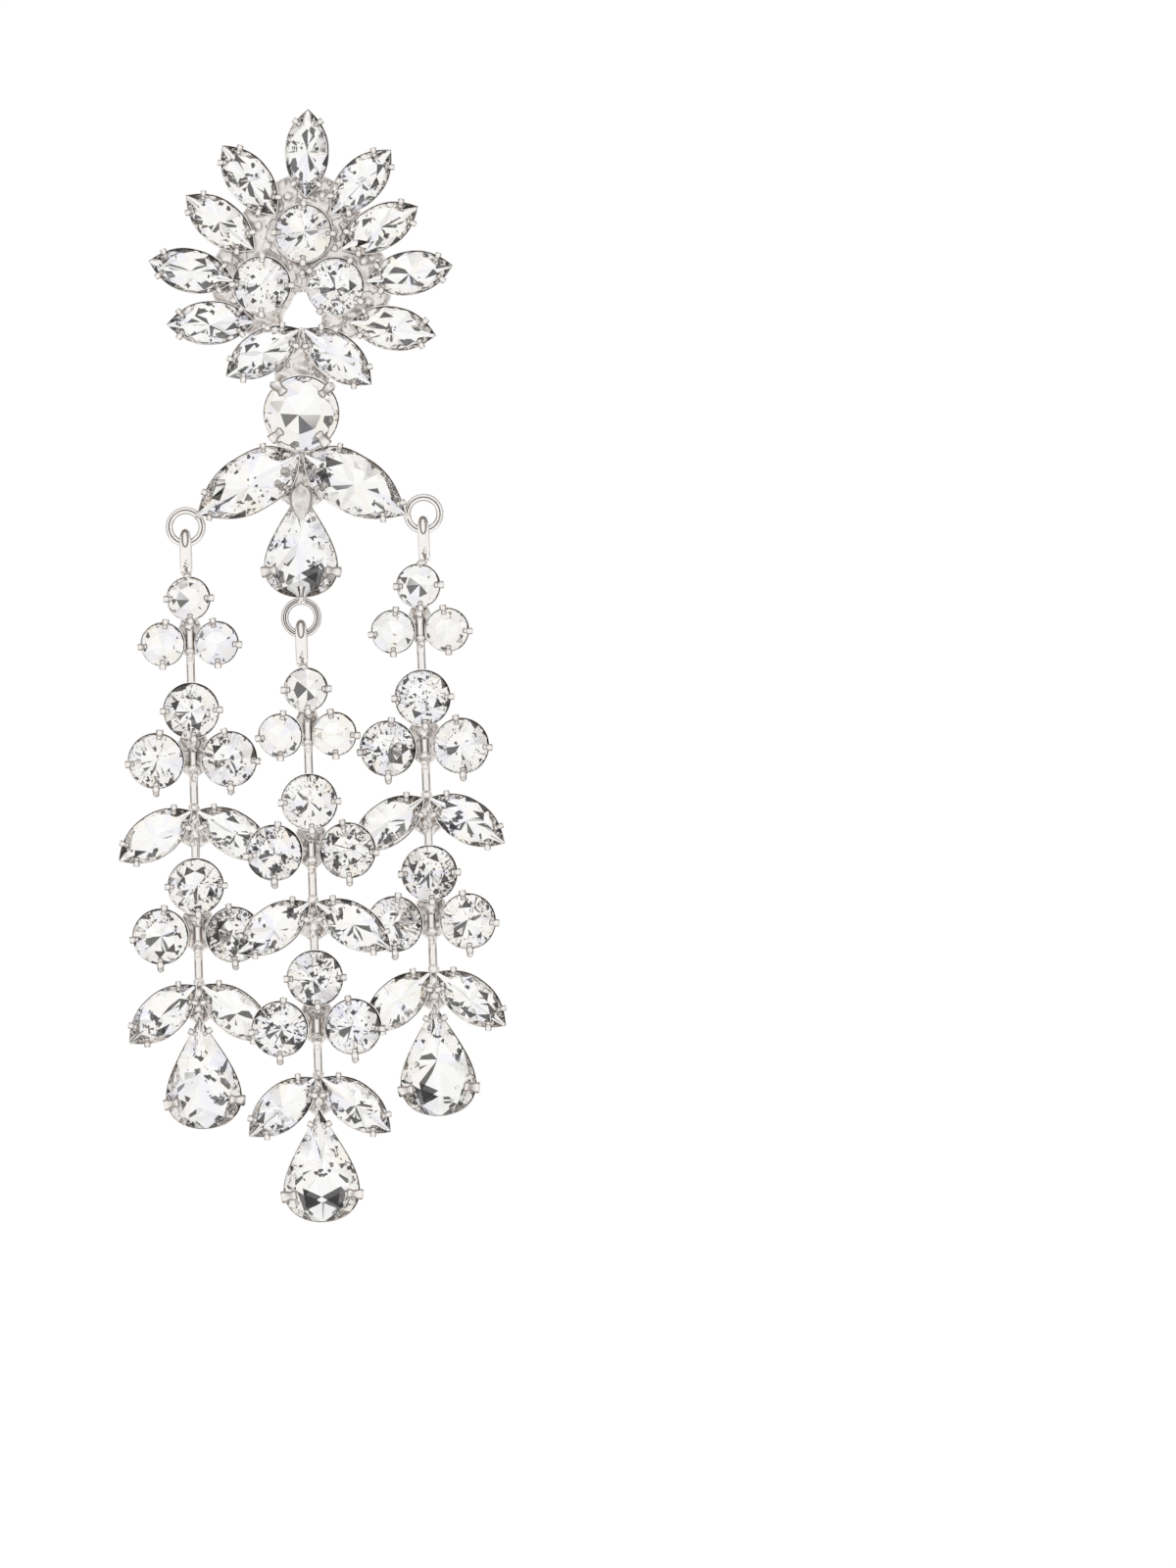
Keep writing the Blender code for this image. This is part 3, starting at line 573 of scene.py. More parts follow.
def simple_cut(setting, inner):
    """A stone of few facets: a table, eight sloping faces, a girdle and eight faces that meet in a point.

    A face's height falls with its reach along its own direction, so each is flat and the girdle is scalloped.
    """
    flat = TABLE_SHARE * BEND
    fall = (setting.crown + RIM_STEP) / (1 - flat)
    low = -RIM_STEP - GIRDLE
    edge = AROUND / GIRDLE_POINTS
    reach = np.cos(2 * np.pi * ((edge * MAINS) % 1 - 0.5) / MAINS)
    girdle = outline(setting.shape, inner, edge)
    rows = (
        (outline(setting.shape, inner, MAIN / MAINS), TABLE_SHARE, setting.crown),
        (girdle, 1.0, setting.crown - fall * (reach - flat)),
        (girdle, 1.0, low - setting.foil * (1 - reach)),
        (np.zeros((1, 2)), 1.0, low - setting.foil),
    )
    points, (table, top, base, culet) = rings_of(rows)
    fan = (FAN_STEP * MAIN[:, None] + np.arange(FAN_STEP + 1)) % GIRDLE_POINTS
    crown = [[table + MAIN], np.column_stack([table + MAIN, top + fan, table + (MAIN + 1) % MAINS])]
    return points, crown, [band(top, base), np.column_stack([np.full(MAINS, culet), base + fan[:, ::-1]])]


def brilliant_cut(setting, inner):
    """A stone of many facets: its rings are shares of its outline, from the table over star points to the girdle.

    A ring's height falls from the table in proportion to its reach along the main facet's direction, so the kites
    stay flat. Below the girdle, eight kites and sixteen narrow faces meet in a point.
    """
    fall = (setting.crown + RIM_STEP) / (1 - TABLE_SHARE)
    low = -RIM_STEP - GIRDLE
    corners = outline(setting.shape, inner, MAIN / MAINS)
    between = outline(setting.shape, inner, (MAIN + 0.5) / MAINS)
    chords = (corners + np.roll(corners, -1, axis=0)) / 2
    bend = np.linalg.norm(chords, axis=1) / np.linalg.norm(between, axis=1)
    girdle = outline(setting.shape, inner, AROUND / GIRDLE_POINTS)
    rows = (
        (corners, TABLE_SHARE, setting.crown),
        (between, STAR_SHARE, setting.crown - fall * (STAR_SHARE * bend - TABLE_SHARE)),
        (girdle, 1.0, -RIM_STEP),
        (girdle, 1.0, low),
        (between, LOWER_SHARE, low - setting.foil * (1 - LOWER_SHARE * bend)),
        (np.zeros((1, 2)), 1.0, low - setting.foil),
    )
    points, (table, star, top, base, lower, culet) = rings_of(rows)
    after, before = (MAIN + 1) % MAINS, (MAIN - 1) % MAINS
    main = FAN_STEP * MAIN
    fan = main[:, None] + np.arange(FAN_STEP)
    next_fan = (fan + 1) % GIRDLE_POINTS
    crown = [
        [table + MAIN],
        grid(star + MAIN, table + after, table + MAIN),
        grid(star + before, top + main, table + MAIN),
        grid(top + main, star + MAIN, table + MAIN),
        grid(star + MAIN[:, None], top + fan, top + next_fan).reshape(-1, 3),
    ]
    back = [
        band(top, base),
        grid(lower + MAIN[:, None], base + next_fan, base + fan).reshape(-1, 3),
        grid(lower + MAIN, base + main, culet),
        grid(base + main, lower + before, culet),
    ]
    return points, crown, back


def cut_stones(name, settings, body, nodes):
    """Cut stones in one mesh. The crown is glass, and the girdle and pavilion are foiled."""
    points, faces, foiled, reflection_marks, glints = [], [], [], [], []
    count = 0
    for setting in settings:
        inner = tuple(side - 2 * (WALL + STONE_GAP) for side in setting.size)
        stone, crown, back = (simple_cut if setting.simple else brilliant_cut)(setting, inner)
        rare = RARENESS[setting.shape]
        mains = rng.uniform(0, 1, MAINS)
        for kind, group in enumerate((crown, back)):
            for number, part in enumerate(group):
                size = len(part)
                faces.extend((np.asarray(part) + count).tolist())
                foiled.extend([kind] * size)
                glints.extend([0.0 if setting.simple else GLINTS[setting.shape]] * size)
                # Each face draws a mark for painted reflections: dark crown facets on the glass, grey, lilac and straw
                # facets on the foil. Only a brilliant's stars and upper halves, and the foiled faces, draw marks.
                reflection_mark = mains if size == MAINS else np.repeat(rng.uniform(0, 1, (size + 1) // 2), 2)[:size]
                if kind == 0 and number == 1:
                    reflection_mark = rng.uniform(0, 1, MAINS) ** (FIRST_FACET_POWER * rare)
                elif kind == 0:
                    reflection_mark = reflection_mark ** (FACET_POWER * rare)
                unmarked = kind == 0 and (setting.simple or number not in (1, 4))
                reflection_marks.append(reflection_mark * (not unmarked))
        stone[-1, :2] += rng.uniform(-0.04, 0.04, 2) * setting.size[1]
        shift = STONE_SHIFT * rng.uniform(0.5, 1.0, 3) * (1.0, 0.0, 1.0)
        points.append(setting.place.row(stone) - shift)
        count += len(stone)
    mesh = bpy.data.meshes.new(name)
    mesh.from_pydata(np.vstack(points), [], faces)
    for label, values in (("facet", np.concatenate(reflection_marks)), ("glint", glints)):
        mesh.attributes.new(label, "FLOAT", "FACE").data.foreach_set("value", np.array(values, np.float32))
    shown(name, mesh, [CRYSTAL, FOIL], body, nodes)
    mesh.polygons.foreach_set("material_index", np.array(foiled, np.int32))


def solder_web(piece, corners, centre, back, thickness, place, cups, hole=0.0, rings=26, columns=150):
    """A lumpy sheet of solder: rings grow from the hole, or the centre, to the edge that the corners give.

    The edge's distance at each bearing is where that ray leaves the polygon, evened out over its neighbours. The
    front rises by waves, rounds off at the edges, and sinks to a thin floor inside each cup.
    """
    holed = hole > 0
    corners = np.asarray(corners) - centre
    sides = np.roll(corners, -1, axis=0) - corners
    turn = turns(columns)
    ray = grid(np.cos(turn), np.sin(turn))
    cross = ray[:, None, 0] * sides[None, :, 1] - ray[:, None, 1] * sides[None, :, 0]
    cross = np.where(cross == 0, 1e-12, cross)
    reach = (corners[:, 0] * sides[:, 1] - corners[:, 1] * sides[:, 0]) / cross
    share = (corners[:, 0] * ray[:, None, 1] - corners[:, 1] * ray[:, None, 0]) / cross
    found = (reach > 0) & (np.abs(share - 0.5) <= 0.5001)
    edge = np.where(found, reach, 0.0).max(1)
    edge = sum(np.roll(edge, shift) for shift in (-2, -1, 0, 1, 2)) / 5
    steps = np.linspace(0, 1, rings) ** 0.8
    hole = hole * (1 + HOLE_WAVE * np.cos(3 * (turn - np.pi / 2)))
    radius = hole + (edge - hole) * np.maximum(steps, 0.0 if holed else 0.02)[:, None]
    flat = centre + radius[..., None] * ray
    lip = np.sqrt(1 - np.clip((steps - 1 + EDGE_LIP) / EDGE_LIP, 0, 1) ** 2)
    if holed:
        lip = lip * np.sqrt(1 - np.clip((HOLE_LIP - steps) / HOLE_LIP, 0, 1) ** 2)
    bumps = waves(flat, 1.7 * MM, LUMPS) + waves(flat, 0.8 * MM, 0.45 * LUMPS)
    clear = np.min([cup.reach(flat) for cup in cups], axis=0)
    clear = np.clip((clear - CUP_SINK[0]) / CUP_SINK[1], 0, 1)
    height = back + WEB_FLOOR + (thickness + bumps - WEB_FLOOR) * (0.3 + 0.7 * lip[:, None]) * clear
    rear = np.dstack([flat[[-1, rings // 2, 0]], np.full((3, columns), back + WEB_INSET)])
    shape = np.vstack([np.dstack([flat, height]), rear])
    # Painted shade: darker where the lumps sink, and on the web's back.
    shade_in_hollows = np.clip(0.4 - bumps / (4 * LUMPS), 0, 1)
    recess = np.vstack([shade_in_hollows, np.full((3, columns), 0.8)])
    piece.put(place.row(shape), recess, wrap=holed)


class Signal:
    """A socket of a finish's node tree, so that Python sums and products of signals add Math nodes."""

    def __init__(self, finish, socket):
        self.finish, self.socket = finish, socket

    def maths(self, operation, *values):
        return self.finish.add("ShaderNodeMath", {"operation": operation}, dict(enumerate(values)))

    def __add__(self, other):
        return self.maths("ADD", self, other)

    __radd__ = __add__

    def __mul__(self, other):
        return self.maths("MULTIPLY", self, other)

    __rmul__ = __mul__

    def __sub__(self, other):
        return self.maths("SUBTRACT", self, other)

    def __rsub__(self, other):
        return self.maths("SUBTRACT", other, self)

    def __abs__(self):
        return self.maths("ABSOLUTE", self)


class Finish:
    """The node tree of a new material, or of the world."""

    def __init__(self, owner):
        owner.use_nodes = True
        self.owner, self.tree = owner, owner.node_tree
        self.tree.nodes.clear()

    def add(self, kind, settings=None, sockets=None, output=0):
        """One node: its settings first, then a value or a signal for each named or numbered socket."""
        node = self.tree.nodes.new(kind)
        for name, value in (settings or {}).items():
            if name == "stops":
                ramp = node.color_ramp
                while len(ramp.elements) < len(value):
                    ramp.elements.new(0.5)
                for stop, (position, colour) in zip(ramp.elements, value):
                    stop.position = position
                    stop.color = (*colour, 1.0)
            else:
                setattr(node, name, value)
        for name, value in (sockets or {}).items():
            if isinstance(value, Signal):
                self.tree.links.new(value.socket, node.inputs[name])
            else:
                node.inputs[name].default_value = value
        return Signal(self, node.outputs[output]) if node.outputs else None

    def where(self, output="Object"):
        return self.add("ShaderNodeTexCoord", output=output)

    def between(self, value, low, high):
        """0 below low, 1 above high, and a smooth step between them."""
        sockets = {"Value": value, "From Min": low, "From Max": high}
        return self.add("ShaderNodeMapRange", {"interpolation_type": "SMOOTHSTEP"}, sockets)

    def mix(self, factor, first, second):
        """One colour into another. A Mix node keeps its colours at sockets 6 and 7 and gives them at output 2."""
        colours = {6: (*first, 1.0) if isinstance(first, tuple) else first, 7: (*second, 1.0)}
        return self.add("ShaderNodeMix", {"data_type": "RGBA"}, {0: factor, **colours}, output=2)

    def blend(self, factor, first, second):
        """One number into another."""
        return self.add("ShaderNodeMix", {"data_type": "FLOAT"}, {0: factor, 2: first, 3: second})

    def noise(self, scale, detail=3.0, roughness=0.5):
        sockets = {"Vector": self.where(), "Scale": scale, "Detail": detail, "Roughness": roughness}
        return self.add("ShaderNodeTexNoise", None, sockets)

    def attribute(self, name):
        return self.add("ShaderNodeAttribute", {"attribute_name": name}, output="Fac")

    def bump(self, height, distance, strength):
        sockets = {"Height": height, "Distance": distance, "Strength": strength}
        return self.add("ShaderNodeBump", None, sockets)

    def surface(self, colour, roughness, others):
        """The material, with its Principled shader linked to its output."""
        sockets = {"Base Color": colour, "Roughness": roughness, **others}
        self.add("ShaderNodeOutputMaterial", None, {"Surface": self.add("ShaderNodeBsdfPrincipled", None, sockets)})
        return self.owner


def silver_metal():
    """Polished silver-tone plating: faint warm clouds, hairline wear, and painted brown shade in the recesses and
    along edges.
    """
    finish = Finish(bpy.data.materials.new("silver_tone_plating"))
    cloud = finish.noise(900.0, 4.0)
    # Painted shade: dark brown in the recesses, along edges and on grains, broken up by the clouds.
    painted_shade_mask = finish.between(finish.attribute("recess") + (cloud - 0.5) * 0.7, 0.55, 1.15)
    clean = finish.mix(cloud, (0.82, 0.79, 0.76), (0.93, 0.91, 0.89))
    hairline = finish.noise(6000.0, 2.0, 0.6)
    normal = finish.bump(cloud * 0.7 + hairline * 0.3, 9 * MICRON, 0.8)
    colour = finish.mix(painted_shade_mask * 0.9, clean, (0.26, 0.215, 0.19))
    return finish.surface(colour, 0.07 + hairline * 0.12 + painted_shade_mask * 0.22, {"Metallic": 1.0, "Normal": normal})


def solder_metal():
    """Rough pale solder: a grainy cast surface, bright on its lumps, with painted brown shade in its creases and
    hollows.
    """
    finish = Finish(bpy.data.materials.new("rough_solder"))
    grain = finish.noise(2300.0, 5.0, 0.62)
    patch = finish.noise(420.0, 3.0)
    run = finish.noise(600.0, 2.0, 0.45)
    crease = 1.0 - finish.between(abs(run - 0.5) + (grain - 0.5) * 0.05, 0.0, 0.03)
    hollow_shade_and_grain = finish.attribute("recess") * 0.35 + grain * 0.6 + (patch - 0.5) * 0.5
    pale = finish.mix(patch, (0.91, 0.85, 0.81), (0.97, 0.945, 0.92))
    # Painted shade: dark brown lines in the bumped creases, and dark brown where the painted shade, the grain and the
    # patches add up.
    colour = finish.mix(crease * 0.62 + finish.between(hollow_shade_and_grain, 0.5, 0.9) * 0.2, pale, (0.30, 0.235, 0.195))
    normal = finish.bump(grain + patch * 0.5 - crease * 0.7, 115 * MICRON, 0.9)
    return finish.surface(colour, 0.22 + grain * 0.3, {"Metallic": 0.7, "Normal": normal})


def crystal_glass():
    """Clear lead crystal with a trace of polishing haze, and painted dark reflections: some crown facets and small
    glints painted near black.
    """
    finish = Finish(bpy.data.materials.new("clear_crystal"))
    haze = finish.noise(1500.0, 3.0)
    clear = finish.mix(haze, (0.98, 0.978, 0.978), (1.0, 1.0, 1.0))
    settings = {"distance": "MANHATTAN"}
    cells = finish.add("ShaderNodeTexVoronoi", settings, {"Vector": finish.where(), "Scale": 2300.0}, output="Color")
    # Painted dark reflections: small dark cells, and whole crown facets, painted near black.
    glint = finish.add("ShaderNodeSeparateXYZ", None, {0: cells}) * finish.attribute("glint")
    dark_reflection = finish.between(finish.attribute("facet"), 0.905, 0.915)
    dark_reflection = dark_reflection.maths("MAXIMUM", dark_reflection, finish.between(glint, 0.94, 0.945))
    colour = finish.mix(dark_reflection, clear, (0.012, 0.011, 0.011))
    return finish.surface(colour, haze * 0.02, {"IOR": 1.5, "Transmission Weight": 1.0})


def foil_backing():
    """The mirror foil behind each stone: most facets silver, some painted grey as dark reflections, with faint lilac
    and straw ones painted as coloured glints.
    """
    finish = Finish(bpy.data.materials.new("mirror_foil"))
    # Painted reflections and glints, chosen by each face's mark.
    stops = (
        (0.0, (0.98, 0.978, 0.975)),
        (0.30, (0.95, 0.943, 0.93)),
        (0.52, (0.96, 0.93, 0.87)),
        (0.62, (0.87, 0.87, 0.945)),
        (0.72, (0.98, 0.978, 0.972)),
        (0.90, (0.95, 0.947, 0.94)),
        (0.98, (0.78, 0.77, 0.765)),
    )
    colour = finish.add("ShaderNodeValToRGB", {"stops": stops}, {0: finish.attribute("facet")})
    wear = finish.between(finish.noise(1300.0, 4.0), 0.55, 0.9)
    return finish.surface(colour, wear * 0.12 + 0.02, {"Metallic": 1.0})


def turned_steel():
    """The post's plain steel, turned on a lathe: fine rings across its length and light scuffs."""
    finish = Finish(bpy.data.materials.new("turned_steel"))
    sockets = {"Vector": finish.where(), "Scale": 9000.0, "Distortion": 1.0, "Detail": 2.0}
    rings = finish.add("ShaderNodeTexWave", {"bands_direction": "Y"}, sockets)
    scuff = finish.noise(1100.0, 4.0)
    colour = finish.mix(scuff, (0.66, 0.66, 0.67), (0.80, 0.795, 0.79))
    normal = finish.bump(rings * 0.5 + scuff, 8 * MICRON, 0.7)
    return finish.surface(colour, 0.16 + rings * 0.1 + scuff * 0.12, {"Metallic": 1.0, "Normal": normal})


def pale_board():
    """A plain pale floor with a barely visible tooth."""
    finish = Finish(bpy.data.materials.new("pale_board"))
    white = finish.mix(finish.noise(260.0, 3.0), (0.90, 0.90, 0.90), (0.94, 0.94, 0.94))
    return finish.surface(white, 0.7, {"Emission Color": white, "Emission Strength": 0.42})


SILVER = silver_metal()
SOLDER = solder_metal()
CRYSTAL = crystal_glass()
FOIL = foil_backing()
STEEL = turned_steel()


def metal_made(pieces, names, body, node):
    """The cups, claws, solder and wire of one setting, in place of its CAD node. Solder has soft edges."""
    for piece, name in zip(pieces, names):
        soft = piece is pieces[2]
        piece.made(name, SOLDER if soft else SILVER, body, "silver_tone_metal", [node], 80.0 if soft else 50.0)


def ear_post():
    """The pad and pin behind the rosette: a profile of radii and distances turned about the pin's axis."""
    pad, thick, pin, tip = PAD_RADIUS / MM, PAD_THICKNESS / MM, PIN_RADIUS / MM, -PIN_LENGTH / MM
    # Radius, and distance to the front, in mm.
    rows = np.array(
        (
            (0.3, thick - 0.02), (pad - 0.12, thick), (pad - 0.02, thick - 0.06), (pad, thick / 2), (pad - 0.03, 0.07),
            (pad - 0.12, 0.0), (0.95, 0.0), (0.72, -0.06), (0.52, -0.22), (pin, -0.45), (pin, -8.0), (0.37, -8.12),
            (0.34, -8.4), (0.37, -8.68), (pin, -8.8), (pin, pin + tip), (0.36, 0.15 + tip), (0.16, tip),
        )
    )
    radius, front = rows.T[:, :, None] * MM
    piece = Piece()
    piece.put(grid(radius * np.cos(turns(40)), -front, radius * np.sin(turns(40))))
    piece.made("ear_pad_and_pin", STEEL, "ear_piece", "post_steel", ["ear_post"], sharp=40.0)


def wire_ring(piece, across, up, front, grooves):
    """A ring that faces the front: a flat band's section, with one groove or two, carried round a circle."""
    turn = turns(48)[:, None]
    out, ahead = (np.array(RING_SECTIONS[grooves]) * MM).T
    reach = RING_RADIUS + out
    # Painted shade in the grooves and over the sides and back, deeper along arcs that run round the ring.
    arcs = 0.5 + 0.5 * np.sin(2 * turn + rng.uniform(0, 2 * np.pi) + 2.2 * (out > 0))
    recess = 0.25 + (0.8 + 0.9 * arcs) * (ahead < 0.24 * MM)
    piece.put(grid(across + reach * np.sin(turn), -front - ahead, up - reach * np.cos(turn)), recess, wrap=True)


def bar(start, end, radius, sides, count, waist=0.0):
    """A round bar between two points, each as across, up and front, thinner in its middle by its waist."""
    share = np.linspace(0, 1, count)[:, None]
    first, last = (np.array((point[0], -point[2], point[1])) for point in (start, end))
    width = 2 * radius * (1 - waist * np.sin(np.pi * share[:, 0]))
    return sweep(first * (1 - share) + last * share, ALONG_Y, width, width, sides=sides)


def top_of_earring():
    """The rosette, connector, wings and top pear with their web, rings and stones. Returns each drop's pivot."""
    tips = [Place(across * ROSETTE_RADIUS, up * ROSETTE_RADIUS, 0.0, axis) for across, up, axis in PETALS]
    petals = [
        Setting("navette", PETAL, tip.ahead(PETAL[0] / 2), row[2], WEB_BACK) for tip, row in zip(tips, PETALS)
    ]
    rounds = [
        Setting("round", ROSETTE_ROUND, (across * ROSETTE_RADIUS, up * ROSETTE_RADIUS), turn, WEB_BACK)
        for across, up, turn in ROSETTE_CENTRES
    ]
    middle = (0.0, -(ROSETTE_RADIUS + NECK_LENGTH + CONNECTOR_ROUND[1] / 2))
    connector = Setting(
        "round", CONNECTOR_ROUND, middle, CONNECTOR_TURN, WEB_BACK, "connector", tabs_from=0.0, simple=True
    )
    wing_tip_up = middle[1] - CONNECTOR_ROUND[1] / 2 - JOIN_STEP
    wing_tips, wings = {}, []
    for drop_name, side, axis in (("left_drop", -1, 180 + WING_DROOP), ("right_drop", 1, -WING_DROOP)):
        tip = wing_tips[drop_name] = Place(side * JOIN_STEP, wing_tip_up, 0.0, axis)
        wings.append(Setting("wing", WING, tip.ahead(WING[0] / 2), axis, WEB_BACK))
    pear_tip_up = wing_tip_up - PEAR_NOTCH
    pear_middle = (0.0, pear_tip_up - TOP_PEAR[0] / 2)
    pear = Setting("pear", TOP_PEAR, pear_middle, 90.0, WEB_BACK + PEAR_RAISE, tabs_from=PEAR_TABS_FROM)

    cups, claws, solder, rings = pieces = Piece(), Piece(), Piece(), Piece()
    for setting in (*petals, *rounds, connector, *wings, pear):
        setting.cup(cups)
        setting.all_claws(claws)
    pear.tip_plate(claws)

    flat = Place(0.0, 0.0, 0.0)
    web = [tip.ahead(PETAL_HOLD * PETAL[0]) for tip in tips]
    shoulder = SHOULDER_SHARE * CONNECTOR_ROUND[1]
    web[LOWEST_PETAL:LOWEST_PETAL] = [(side * shoulder, middle[1] + shoulder / 2) for side in (-1, 1)]
    centre = np.array((0.0, HOLE_DROP_SHARE * ROSETTE_RADIUS))
    seats = (*petals, *rounds, connector, *wings)
    solder_web(solder, web, centre, WEB_BACK, TOP_WEB, flat, seats, hole=ROSETTE_HOLE, rings=44, columns=240)
    left, right = (tip.ahead(WING_HOLD * WING[0]) for tip in wing_tips.values())
    corners = [middle, left, (0.0, pear_tip_up - TOP_PEAR[0] / 4), right]
    centre = np.array((0.0, wing_tip_up - WING_WEB_DROP))
    solder_web(solder, corners, centre, WEB_BACK, TOP_WEB, flat, (*seats, pear))
    inner = np.array([tip.ahead(TIP_BEAD_STEP) for tip in tips])
    between = (inner + np.roll(inner, -1, axis=0)) / 2
    for across, up in np.delete(between, LOWEST_PETAL - 1, axis=0):
        size = rng.uniform(*TIP_BEAD_SIZES, 3) * MM
        solder.put(ball((across, -(WEB_BACK + TIP_BEAD_FRONT), up), size), 0.3)
    for across, up, front, size in np.array(TOP_BEADS) * MM:
        solder.put(ball((across, -front, up), size * np.array((1.0, 0.8, 1.05))), 0.2)

    pivots = {}
    for name, bearing, *_ in DROPS:
        if name in wing_tips:
            start, end = wing_tips[name].ahead(LUG_FROM * WING[0]), wing_tips[name].ahead(WING[0])
            ring_front = SIDE_RING_FRONT
        else:
            low = pear_tip_up - TOP_PEAR[0]
            start, end = (0.0, low + TOP_PEAR[1] / 6), (0.0, low - RING_WIRE / 3)
            ring_front = WEB_BACK + PEAR_RAISE + pear.depth - RING_SETBACK
        across = end[0] + RING_RADIUS * math.cos(math.radians(bearing))
        up = end[1] + RING_RADIUS * math.sin(math.radians(bearing))
        wire_ring(rings, across, up, ring_front, 2 if name == "centre_drop" else 1)
        rings.put(bar((*start, ring_front), (*end, ring_front), LUG_RADIUS, 12, 9, LUG_WAIST), 0.4)
        solder.put(ball((end[0], -ring_front, end[1]), np.array((0.95, 0.9, 0.95)) * MM), 0.3)
        pivots[name] = (across, up - RING_RADIUS, ring_front)

    metal_made(pieces, ("top_cups", "top_claws", "top_solder", "hanging_rings"), "ear_piece", "top_setting")
    cut_stones("petal_gems", petals, "ear_piece", [f"petal_stone_{n:02d}" for n in range(1, len(petals) + 1)])
    cut_stones("rosette_gems", rounds, "ear_piece", [f"rosette_stone_{n}" for n in (1, 2, 3)])
    cut_stones("connector_gem", [connector], "ear_piece", ["connector_stone"])
    cut_stones("wing_gems", wings, "ear_piece", ["wing_stone_left", "wing_stone_right"])
    cut_stones("top_pear_gem", [pear], "ear_piece", ["top_pear_stone"])
    return pivots


def bail_loop(swing):
    """An oblong loop of strip, edge on to the front, and the lip of the slot in its arch.

    The loop is a round-edged section carried round a stadium. The slot's lip is a thin bead along an oval, which
    goes up the straight front and then bends back over the arch.
    """
    ring_rise = RING_RADIUS - math.sqrt(RING_RADIUS**2 - (BAIL_WIDTH / 2) ** 2)
    top = RING_WIRE / 2 + ring_rise + BAIL_PLAY
    depth = RING_WIRE / 2 + BAIL_PLAY
    low = -(BAIL_REACH - BAIL_STRIP)
    turn = turns(40, 0.5)
    arch = np.clip(np.sin(turn), 0, 1)
    grown = BAIL_ARCH * arch
    reach = depth + (BAIL_STRIP + grown) / 2
    end = np.where(np.sin(turn) > 0, top - depth, low + depth)
    path = grid(0.0, reach * np.cos(turn), end + reach * np.sin(turn))
    width = BAIL_WIDTH * (1 - 0.3 * arch**2)
    shape = sweep(path, (1.0, 0.0, 0.0), width, BAIL_STRIP * 0.96 + grown, sides=14, square=3.2, closed=True)
    along = (SLOT_MIDDLE + SLOT_REACH * np.sin(turns(28))) * MM
    front = depth + 0.98 * BAIL_STRIP
    angle = np.clip((along - top + depth) / front, 0, None)
    out = front + BAIL_ARCH * np.sin(angle)
    rise = np.minimum(along, top - depth)
    oval = grid(SLOT_HALF_WIDTH * MM * np.cos(turns(28)), -out * np.cos(angle), out * np.sin(angle) + rise)
    slot = sweep(oval, ALONG_Y, 0.2 * MM, 0.22 * MM, sides=6, closed=True)
    return swing.row(shape), swing.row(slot)


